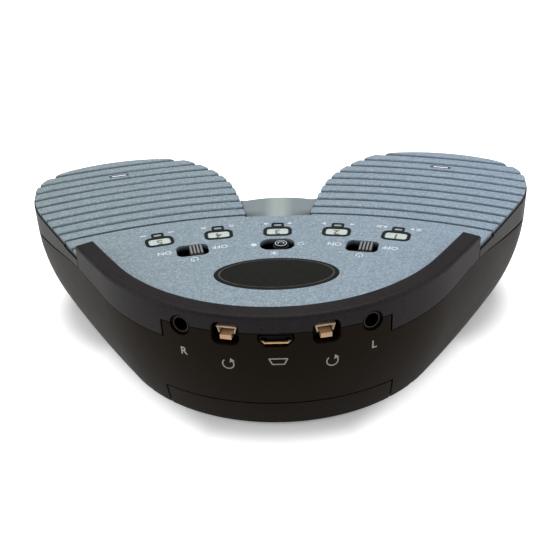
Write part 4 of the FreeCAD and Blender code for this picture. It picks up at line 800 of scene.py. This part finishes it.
@dataclass
class Layout:
    """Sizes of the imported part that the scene's own pieces line up with."""

    deck: float = 35.0 * MM
    rear_y: float = 52.15 * MM
    rear_radius: float = 54.4 * MM
    split_reach: float = 58.7 * MM
    split_radius: float = 126.9 * MM
    window_radius: float = 115.35 * MM
    window_step: float = 8.08
    control_radius: float = 107.7 * MM
    control_step: float = 12.1
    port_recess: float = 0.6 * MM
    socket_knee_depth: float = 5.6 * MM
    reset_turn: float = 12.635
    jack_turn: float = 24.775
    jack_depth: float = 3.1 * MM
    knob_rest: float = 1.0 * MM
    print_height: float = 0.03 * MM
    flat_depth: float = 8.2 * MM
    wall_curve: float = 50.0 * MM

    @property
    def rear_centre(self) -> float:
        """Centre of the rear wall's arc on the middle line."""
        return self.rear_y - self.rear_radius

    def wall_inset(self, depth: float) -> float:
        """How far the wall is drawn in at a depth below the deck."""
        beyond = max(0.0, depth - self.flat_depth)
        return beyond * beyond / (2 * self.wall_curve)

    def on_deck(self, radius: float, turn: float, level: float | None = None) -> Matrix:
        """Place and turn of something on the deck, on an arc about the grooves' centre.

        Args:
            radius: the arc's radius.
            turn: angle from the middle line, positive towards +X.
            level: height, or the deck's.

        Returns:
            The matrix.
        """
        angle = math.radians(turn)
        groove_y = self.rear_y - self.split_reach + self.split_radius
        height = self.deck if level is None else level
        spot = (radius * math.sin(angle), groove_y - radius * math.cos(angle), height)
        return Matrix.Translation(spot) @ Matrix.Rotation(angle, 4, "Z")

    def on_wall(self, turn: float, depth: float, proud: float = 0.0) -> Matrix:
        """Place on the rear wall, with local X to the reader's right, Y up and Z outwards.

        Args:
            turn: angle round the rear arc, positive towards +X.
            depth: distance below the deck.
            proud: distance outside the wall.

        Returns:
            The matrix.
        """
        angle = math.radians(turn)
        right = Vector((-math.cos(angle), math.sin(angle), 0))
        out = Vector((math.sin(angle), math.cos(angle), 0))
        spot = Vector((0, self.rear_centre, self.deck - depth)) + out * (self.rear_radius + proud)
        return Matrix.Translation(spot) @ Matrix((right, Vector((0, 0, 1)), out)).transposed().to_4x4()


@dataclass
class Workshop:
    """Shared ways to finish a piece and hand it to the frame."""

    palette: Palette
    layout: Layout

    @property
    def thick(self) -> float:
        """Thickness of anything printed."""
        return self.layout.print_height

    def bar(self, name: str, width: float, height: float, y: float = 0.0) -> Piece:
        """Small printed bar."""
        return Bench.box(name, (width, height, self.thick), (0, y, self.thick / 2))

    def finish(self, piece: Piece, finish: Finish, slot: Finish, body: str = "case") -> Piece:
        """Gives a piece its material and body.

        Args:
            piece: the piece.
            finish: its finish.
            slot: the record's slot that it belongs to; not used.
            body: the body that it rides on.

        Returns:
            The piece.
        """
        piece.data.materials.clear()
        piece.data.materials.append(self.palette.of(finish))
        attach(piece, body)
        LOG.info("%s: %s on %s", piece.name, finish.value, body)
        return piece


class PackedNodes:
    """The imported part's own pieces, which only get better materials."""

    def __init__(self, frame: dict, palette: Palette) -> None:
        """Keeps the frame and the palette."""
        self.frame = frame
        self.palette = palette

    def dress(self) -> None:
        """Gives each node the material of its slot, and every switch's body a dark one."""
        slots = {part["node"]: part["material_slot"] for part in self.frame["record"]["subparts"]}
        for name, node in self.frame["nodes"].items():
            finish = Finish.HOUSING if name.endswith("_switch") else Finish(slots[name])
            for place in node.material_slots:
                place.material = self.palette.of(finish)
            LOG.info("%s: %s", name, finish.value)


@dataclass(frozen=True)
class RingArrow:
    """Open ring with an arrow head at its end; turns, opening and lean in degrees."""

    radii: Pair
    gap: float
    reach: float
    turn: float
    lean: float
    head: float

    def build(self, name: str, thick: float) -> Piece:
        """Makes the flat mark, centred on its origin."""
        angle = math.radians(self.turn)
        tip = Matrix.Translation((self.reach * math.sin(angle), self.reach * math.cos(angle), 0))
        head = Bench.disc("head", self.head, thick, 3)
        Bench.place(head, tip @ Matrix.Rotation(math.radians(-90 - self.lean), 4, "Z"))
        return Bench.join(name, [Bench.ring(name, *self.radii, thick, gap=self.gap), head])


@dataclass
class ConsolePrint(Workshop):
    """Numbers in the windows and the white marks printed on the deck."""

    digit_height: float = 2.6 * MM
    word_height: float = 1.7 * MM
    word_turn: float = 3.95
    word_shift: float = 0.4 * MM
    window_sink: float = 0.1 * MM
    tab_radius: float = 120.3 * MM
    tab_turns: tuple[float, ...] = (2.6, 1.85, 1.6, 1.85, 1.85)
    arrow_radius: float = 0.806 * MM
    dot_radii: Pair = (0.65 * MM, 0.325 * MM)
    page_bar: Triple = (1.5 * MM, 0.42 * MM, 0.45 * MM)
    page_tip: float = 1.7 * MM
    plain_bar: Pair = (1.6 * MM, 0.5 * MM)
    icon_radius: float = 102.5 * MM
    icon_size: float = 1.05 * MM
    stroke: float = 0.28 * MM
    power_gap: float = 80.0
    power_rise: float = 0.7875 * MM
    repeat_shape: RingArrow = RingArrow((1.05 * MM, 0.777 * MM), 70.0, 0.9135 * MM, 38.0, 0.0, 0.806 * MM)
    rays: int = 8
    ray_place: Pair = (0.42 * MM, 0.966 * MM)
    lamp_mark_turn: float = 3.35
    lamp_mark_radii: Pair = (0.832 * MM, 0.608 * MM)
    lamp_icon_turn: float = 0.4
    border_inner: float = 0.965
    border_share: Pair = (0.93, 0.88)

    def numbers(self) -> None:
        """One number in each window, one at the user's left."""
        level = self.layout.deck - self.window_sink
        for number in range(1, 6):
            digit = Bench.words(f"window_number_{number}", str(number), self.digit_height, self.thick)
            turn = self.layout.window_step * (number - 3)
            Bench.place(digit, self.layout.on_deck(self.layout.window_radius, turn, level))
            self.finish(digit, Finish.DIGIT, Finish.WINDOW)

    def on_deck(self, mark: Piece, radius: float, turn: float) -> None:
        """Puts a white mark on the deck."""
        Bench.place(mark, self.layout.on_deck(radius, turn))
        self.finish(mark, Finish.PRINT, Finish.DECK)

    def switch_words(self) -> None:
        """ON and OFF at the two ends of each two-way switch."""
        for switch, side in (("repeat", 1), ("power", -1)):
            for word, way in (("ON", 1), ("OFF", -1)):
                mark = Bench.words(f"{switch}_{word.lower()}_mark", word, self.word_height, self.thick)
                turn = side * self.layout.control_step + way * self.word_turn
                self.on_deck(mark, self.layout.control_radius + self.word_shift, turn)

    def arrow(self, name: str, turn: float) -> Piece:
        """Small solid triangle that points along an angle from +X, in degrees."""
        piece = Bench.disc(name, self.arrow_radius, self.thick, 3)
        return Bench.place(piece, Matrix.Rotation(math.radians(turn - 90), 4, "Z"))

    def page_mark(self, name: str, way: int) -> Piece:
        """Two short bars with an arrow head beside them."""
        width, height, apart = self.page_bar
        bars = [self.bar(name, width, height, apart), self.bar("bar", width, height, -apart)]
        tip = Bench.move(self.arrow("tip", 90 * way), (-way * self.page_tip, 0, 0))
        return Bench.join(name, [*bars, tip])

    def tab_mark(self, number: int, name: str, way: int) -> Piece:
        """Plain flat mark beside the tab of a window: way is +1 on the tab's +X side and -1 on the other."""
        if number == 1:
            return self.page_mark(name, way)
        if number == 2:
            return self.arrow(name, 0 if way > 0 else 180)
        if number == 3:
            return self.arrow(name, 90 * way)
        if number == 4:
            return Bench.ring(name, *self.dot_radii, self.thick)
        return self.bar(name, *self.plain_bar)

    def tab_marks(self) -> None:
        """A pair of plain arrows, rings or bars beside the tab of each window."""
        for number in range(1, 6):
            middle = self.layout.window_step * (number - 3)
            for way, end in TABS:
                mark = self.tab_mark(number, f"tab_mark_{number}_{end}", way)
                self.on_deck(mark, self.tab_radius, middle + way * self.tab_turns[number - 1])

    def power_icon(self) -> Piece:
        """Open ring with an upright stroke."""
        size = self.icon_size
        ring = Bench.ring("power_mark", size, size - self.stroke, self.thick, gap=self.power_gap)
        return Bench.join("power_mark", [ring, self.bar("stroke", self.stroke, size, self.power_rise)])

    def lamp_icon(self) -> Piece:
        """Small disc with rays around it."""
        parts = [Bench.disc("lamp_mark", self.icon_size / 2, self.thick)]
        length, reach = self.ray_place
        for step in range(self.rays):
            ray = self.bar("ray", self.stroke, length, reach)
            parts.append(Bench.place(ray, Matrix.Rotation(2 * math.pi * step / self.rays, 4, "Z")))
        return Bench.join("lamp_mark", parts)

    def lamp_ends(self) -> None:
        """Full and empty circle at the two ends of the lamp's switch."""
        full = Bench.disc("lamp_on_mark", self.lamp_mark_radii[0], self.thick)
        empty = Bench.ring("lamp_off_mark", *self.lamp_mark_radii, self.thick)
        for turn, mark in ((self.lamp_mark_turn, full), (-self.lamp_mark_turn, empty)):
            self.on_deck(mark, self.layout.control_radius, turn)

    def icons(self) -> None:
        """Marks under the three switches."""
        step = self.layout.control_step
        icons = (
            (-step, self.power_icon()), (self.lamp_icon_turn, self.lamp_icon()),
            (step, self.repeat_shape.build("repeat_mark", self.thick)))
        for turn, mark in icons:
            self.on_deck(mark, self.icon_radius, turn)

    def badge_border(self) -> None:
        """Thin plain border line inside the badge's edge."""
        low, high = (Vector(corner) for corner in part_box("badge_plate"))
        middle, half = (low + high) / 2, (high - low) / 2
        border = Bench.ring("badge_border", 1.0, self.border_inner, 1.0)
        across, along = self.border_share
        shape = Matrix.Diagonal((half.x * across, half.y * along, self.thick, 1.0))
        Bench.place(border, Matrix.Translation((middle.x, middle.y, high.z)) @ shape)
        self.finish(border, Finish.BORDER, Finish.BADGE)

    def build(self) -> None:
        """Makes every mark on the console."""
        self.numbers()
        self.switch_words()
        self.tab_marks()
        self.icons()
        self.lamp_ends()
        self.badge_border()


@dataclass
class LampKnobCap(Workshop):
    """Raised cap on the round knob of the lamp's switch, with a painted highlight ring and a short arc of
    painted highlight.
    """

    cap_radius: float = 1.75 * MM
    cap_height: float = 0.5 * MM
    cap_shift: float = 0.3 * MM
    cap_edge: float = 0.1 * MM
    # radii of the painted highlight ring and arc
    ring_radii: Pair = (1.6 * MM, 1.44 * MM)
    arc_radii: Pair = (0.88 * MM, 0.672 * MM)
    arc_gap: float = 150.0

    def build(self) -> None:
        """Makes the cap and the painted highlights on its top face."""
        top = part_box("light_knob")[1][2]
        shift = Matrix.Translation((-self.layout.knob_rest, -self.cap_shift, 0))
        spot = shift @ self.layout.on_deck(self.layout.control_radius, 0.0, top)
        cap = Bench.soften(Bench.disc("lamp_knob_cap", self.cap_radius, self.cap_height), self.cap_edge)
        self.finish(Bench.place(cap, spot), Finish.KNOB_CAP, Finish.KNOB, "light_slider")
        # the ring and arc are painted highlights of a dished top, printed white
        ring = Bench.ring("lamp_knob_ring", *self.ring_radii, self.thick)
        arc = Bench.ring("arc", *self.arc_radii, self.thick, gap=self.arc_gap)
        spot = Matrix.Translation((0, 0, self.cap_height)) @ spot
        highlight_marks = Bench.place(Bench.join("lamp_knob_ring", [ring, arc]), spot)
        self.finish(highlight_marks, Finish.PRINT, Finish.KNOB, "light_slider")


@dataclass
class RearPrint(Workshop):
    """Letters and marks on the rear wall."""

    letter_height: float = 2.1 * MM
    letters: tuple[tuple[str, float, float], ...] = (("R", 24.3, 10.3 * MM), ("L", -25.3, 9.9 * MM))
    resets: tuple[tuple[str, float], ...] = (("mode", 12.3), ("pairing", -14.0))
    reset_depth: float = 11.9 * MM
    reset_shape: RingArrow = RingArrow((1.55 * MM, 1.23 * MM), 80.0, 1.39 * MM, 40.0, 10.0, 0.775 * MM)
    stroke: float = 0.32 * MM
    socket_turn: float = -0.4
    socket_depth: float = 10.7 * MM
    socket_top: float = 4.4 * MM
    socket_foot: float = 2.8 * MM
    socket_half_height: float = 0.8 * MM

    def on_wall(self, mark: Piece, turn: float, depth: float) -> None:
        """Lays a flat mark on the rounded wall and finishes it.

        Args:
            mark: the mark, in its own plane, read from +Z.
            turn: angle round the rear arc.
            depth: distance of its middle below the deck.
        """
        def rule(point: Vector) -> Vector:
            """Takes a point of the flat mark to the wall."""
            below = depth - point.y
            angle = turn - math.degrees(point.x / self.layout.rear_radius)
            return self.layout.on_wall(angle, below, point.z - self.layout.wall_inset(below)).translation

        self.finish(Bench.bend(mark, rule), Finish.LETTER, Finish.CASE)

    def lettering(self) -> None:
        """One plain letter below each jack, for the side that it serves."""
        for letter, turn, depth in self.letters:
            mark = Bench.words(f"jack_letter_{letter}", letter, self.letter_height, self.thick)
            self.on_wall(mark, turn, depth)

    def reset_marks(self) -> None:
        """Open ring with an arrow head below each reset opening."""
        for name, turn in self.resets:
            mark = self.reset_shape.build(f"{name}_reset_mark", self.thick)
            self.on_wall(mark, turn, self.reset_depth)

    def socket_mark(self) -> None:
        """Outline of a socket: two level bars and two leaning ones."""
        half = self.socket_half_height
        bars = [self.bar("socket_mark", width, self.stroke, height)
                for width, height in ((self.socket_top, half), (self.socket_foot, -half))]
        side_run = (self.socket_top - self.socket_foot) / 2
        length = math.hypot(side_run, 2 * half) + self.stroke / 2
        lean = math.atan2(side_run, 2 * half)
        middle = (self.socket_top + self.socket_foot) / 4
        for way in (1, -1):
            spot = Matrix.Translation((way * middle, 0, 0)) @ Matrix.Rotation(-way * lean, 4, "Z")
            bars.append(Bench.place(self.bar("side", self.stroke, length), spot))
        self.on_wall(Bench.join("socket_mark", bars), self.socket_turn, self.socket_depth)

    def build(self) -> None:
        """Makes the letters and marks."""
        self.lettering()
        self.reset_marks()
        self.socket_mark()


@dataclass
class TreadDashes(Workshop):
    """White dash on a flat patch painted with the shade of a shallow slot, on each tread."""

    radius: float = 166.35 * MM
    turn: float = 18.0
    slot_size: Pair = (6.2 * MM, 1.7 * MM)
    dash_size: Pair = (4.6 * MM, 0.6 * MM)
    dash_shift: float = 0.1 * MM
    edge_share: float = 0.4

    def build(self) -> None:
        """Makes both dashes."""
        thick = self.thick
        for name, side in SIDES:
            body = f"{name}_pedal"
            spot = self.layout.on_deck(self.radius, side * self.turn)
            layers = (
                # the patch under the dash is painted shade standing in for a shallow slot
                (f"{body}_dash_slot_shade", self.slot_size, (0, 0, thick / 2), Finish.RECESS),
                (f"{body}_dash", self.dash_size, (0, self.dash_shift, thick * 1.5), Finish.DASH))
            for label, size, middle, finish in layers:
                piece = Bench.soften(Bench.box(label, (*size, thick), middle), thick * self.edge_share, 1)
                self.finish(Bench.place(piece, spot), finish, Finish.DECK, body)


@dataclass
class PortFittings(Workshop):
    """Cream switch brackets in the two reset openings and the rings inside the jack mouths."""

    reset_depth: float = 3.45 * MM
    width: float = 4.9 * MM
    plate: float = 0.45 * MM
    flange_rise: float = 1.0 * MM
    front: float = 1.4 * MM
    back: float = 3.4 * MM
    edge: float = 0.08 * MM
    cheek_size: Triple = (0.405 * MM, 1.8 * MM, 1.6 * MM)
    cheek_side: float = 2.05 * MM
    cheek_lean: float = 16.0
    ring_radii: Pair = (2.06 * MM, 1.86 * MM)

    def bracket(self, name: str, side: int) -> None:
        """One bracket: a top flange and two cheeks that lean inwards.

        Args:
            name: name of the reset switch.
            side: +1 towards +X, -1 towards -X.
        """
        size = (self.width, self.plate, self.back - self.front)
        parts = [Bench.box("flange", size, (0, self.flange_rise, 0))]
        drop = self.flange_rise - self.cheek_size[1] / 2
        for way in (1, -1):
            lean = Matrix.Rotation(math.radians(-way * self.cheek_lean), 4, "Z")
            spot = Matrix.Translation((way * self.cheek_side, drop, 0)) @ lean
            parts.append(Bench.place(Bench.box("cheek", self.cheek_size), spot))
        piece = Bench.soften(Bench.join(f"{name}_reset_bracket", parts), self.edge)
        middle = -(self.front + self.back) / 2
        Bench.place(piece, self.layout.on_wall(side * self.layout.reset_turn, self.reset_depth, middle))
        self.finish(piece, Finish.BRACKET, Finish.BRACKET)

    def jack_ring(self, name: str, side: int) -> None:
        """Thin ring just inside a jack's mouth."""
        ring = Bench.ring(f"{name}_jack_ring", *self.ring_radii, self.thick)
        proud = -self.layout.port_recess
        Bench.place(ring, self.layout.on_wall(side * self.layout.jack_turn, self.layout.jack_depth, proud))
        self.finish(ring, Finish.JACK_RING, Finish.JACK)

    def build(self) -> None:
        """Makes both brackets and both rings."""
        for name, side in RESETS:
            self.bracket(name, side)
        for name, side in SIDES:
            self.jack_ring(name, side)


@dataclass
class DoorEdges(Workshop):
    """Strips of painted shade in the gaps beside the battery door, and the ends of its tongues; all ride on
    the door.
    """

    strip_place: Pair = (28.68 * MM, 29.8 * MM)
    strip_size: Triple = (0.3 * MM, 8.7 * MM, 1.2 * MM)
    strip_sink: float = 0.4 * MM
    tongue_place: Pair = (29.22 * MM, 33.1 * MM)
    tongue_size: Triple = (1.5 * MM, 1.4 * MM, 3.0 * MM)
    tongue_sink: float = 0.05 * MM
    cuts: int = 5

    def along_wall(self, name: str, size: Sequence[float], place: Sequence[float], sink: float) -> Piece:
        """Block whose outer face follows the curved wall.

        Args:
            name: the piece's name.
            size: its width, height and depth.
            place: distance from the middle line, and below the deck.
            sink: how far it stays inside the wall's surface.

        Returns:
            The piece.
        """
        piece = Bench.divide(Bench.box(name, size, (0, 0, -sink - size[2] / 2)), self.cuts)
        layout = self.layout
        side, depth = place

        def rule(point: Vector) -> Vector:
            """Takes a point of the upright block to the wall."""
            below = depth - point.y
            across = side - point.x
            radius = layout.rear_radius - layout.wall_inset(below) + point.z
            along = layout.rear_centre + math.sqrt(radius * radius - across * across)
            return Vector((across, along, layout.deck - below))

        return Bench.bend(piece, rule)

    def build(self) -> None:
        """Makes a strip and a tongue's end on each side."""
        kinds = (
            # the strips are near-black painted shade in the door's gaps
            ("strip", self.strip_size, self.strip_place, self.strip_sink, Finish.JACK),
            ("tongue", self.tongue_size, self.tongue_place, self.tongue_sink, Finish.CASE))
        for name, way in SIDES:
            for kind, size, (side, depth), sink, finish in kinds:
                piece = self.along_wall(f"{name}_door_{kind}", size, (way * side, depth), sink)
                self.finish(piece, finish, Finish.CASE, "door")


@dataclass(frozen=True)
class SoftBox:
    """Rectangular lamp: its name, place, size and power in watts."""

    name: str
    place: Triple
    size: Pair
    power: float

    def build(self, target: Vector) -> None:
        """Makes the lamp, facing a target."""
        data = bpy.data.lights.new(self.name, "AREA")
        data.shape = "RECTANGLE"
        data.size, data.size_y = self.size
        data.energy = self.power
        lamp = bpy.data.objects.new(self.name, data)
        bpy.context.collection.objects.link(lamp)
        lamp.location = self.place
        lamp.rotation_mode = "QUATERNION"
        lamp.rotation_quaternion = (target - Vector(self.place)).to_track_quat("-Z", "Y")


@dataclass
class Studio:
    """Pale floor, white surroundings, soft lamps and the camera."""

    layout: Layout
    camera_place: Triple = (-6.0 * MM, 217.85 * MM, 140.7 * MM)
    yaw: float = -1.75
    pitch: float = 29.47
    roll: float = 2.22
    lens: float = 55.76
    sensor: float = 36.0
    clip: Pair = (0.01, 20.0)
    floor_size: float = 6.0
    floor_lit: float = 0.55
    floor_seen: float = 0.98
    floor_glow: float = 0.65
    shade_share: float = 0.31
    shade_reach: Pair = (1.5 * MM, 12.0 * MM)
    foot_radii: Pair = (47.8 * MM, 22.0 * MM)
    lobe_place: Pair = (41.0 * MM, -17.0 * MM)
    world_level: float = 0.33
    lamps: tuple[SoftBox, ...] = (
        SoftBox("top_box", (0.0, -0.15, 0.85), (0.9, 0.7), 5.4),
        SoftBox("left_box", (0.85, 0.15, 0.35), (0.5, 0.6), 3.2),
        SoftBox("right_box", (-0.85, 0.15, 0.35), (0.5, 0.6), 2.4))

    def beyond(self, recipe: Recipe) -> Signal:
        """Distance on the floor from the object's foot: a disc at the rear that runs out into two lobes."""
        rear = self.layout.rear_centre
        across, along = recipe.axis("X").size(), recipe.axis("Y") - rear
        run_x, run_y = self.lobe_place[0], self.lobe_place[1] - rear
        share = (across * run_x + along * run_y).ramp(0.0, run_x * run_x + run_y * run_y)
        off_x, off_y = across - share * run_x, along - share * run_y
        first, last = self.foot_radii
        return (off_x * off_x + off_y * off_y).maths("SQRT") - first + share * (first - last)

    def floor(self) -> None:
        """Pale floor that the camera sees white away from the object; its glow is dimmed close to the
        object's foot, a painted shadow on top of the real one.
        """
        floor = Bench.add("studio_floor", bpy.ops.mesh.primitive_plane_add, size=self.floor_size)
        recipe = Recipe("studio_floor")
        seen = recipe.rays("Camera", "Transmission", "Glossy")
        recipe.set(Base_Color=recipe.blend(seen, grey(self.floor_lit), grey(self.floor_seen)))
        # painted shadow: the floor's glow to the camera is dimmed within a few millimetres of the object's
        # foot
        painted_shadow_fade = self.beyond(recipe).ramp(*self.shade_reach)
        painted_shadow_fade = painted_shadow_fade * painted_shadow_fade * (3.0 - painted_shadow_fade * 2.0) * recipe.rays("Camera")
        glow = recipe.blend(painted_shadow_fade, grey(self.shade_share), grey(1.0))
        recipe.set(Emission_Color=recipe.blend(seen, grey(0.0), glow))
        recipe.set(Emission_Strength=self.floor_glow, Roughness=1.0, Specular_IOR_Level=0.0)
        floor.data.materials.append(recipe.material)
        floor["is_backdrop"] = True

    def world(self) -> None:
        """White surroundings: plain white to the camera, softer as light."""
        world = bpy.data.worlds.new("studio_world")
        bpy.context.scene.world = world
        world.use_nodes = True
        tree = Tree(world.node_tree)
        lit, plain = (
            tree.node("ShaderNodeBackground", values={"Strength": level, "Color": grey(1.0)}).outputs[0]
            for level in (self.world_level, 1.0))
        seen = tree.rays("Camera", "Transmission")
        mix = tree.node("ShaderNodeMixShader", values={0: seen, 1: lit, 2: plain})
        tree.node("ShaderNodeOutputWorld", values={"Surface": mix.outputs[0]})

    def camera(self) -> None:
        """Camera at the photograph's place and angle."""
        yaw, pitch, roll = (math.radians(angle) for angle in (self.yaw, self.pitch, self.roll))
        ahead = Vector((-math.sin(yaw) * math.cos(pitch), -math.cos(yaw) * math.cos(pitch), -math.sin(pitch)))
        right = Vector((-math.cos(yaw), math.sin(yaw), 0))
        down = ahead.cross(right)
        side = math.cos(roll) * right + math.sin(roll) * down
        fall = -math.sin(roll) * right + math.cos(roll) * down
        data = bpy.data.cameras.new("photo_camera")
        data.lens = self.lens
        data.sensor_width = self.sensor
        data.clip_start, data.clip_end = self.clip
        camera = bpy.data.objects.new("photo_camera", data)
        bpy.context.collection.objects.link(camera)
        axes = Matrix((side, -fall, -ahead)).transposed().to_4x4()
        camera.matrix_world = Matrix.Translation(self.camera_place) @ axes
        bpy.context.scene.camera = camera

    def build(self) -> None:
        """Sets up floor, world, lamps, camera and view transform."""
        self.floor()
        self.world()
        for lamp in self.lamps:
            lamp.build(Vector((0, 0, self.layout.deck)))
        self.camera()
        bpy.context.scene.view_settings.view_transform = "Standard"


def main() -> None:
    """Loads the frame, dresses it, adds the scene's own pieces and sets up the studio."""
    logging.basicConfig(level=logging.INFO, format="%(message)s")
    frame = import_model()
    cad_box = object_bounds()
    layout = Layout()
    palette = Palette(layout, cad_box[1].x)
    PackedNodes(frame, palette).dress()
    for group in (ConsolePrint, LampKnobCap, RearPrint, TreadDashes, PortFittings, DoorEdges):
        group(palette, layout).build()
    Studio(layout).build()


if __name__ == "__main__":
    main()
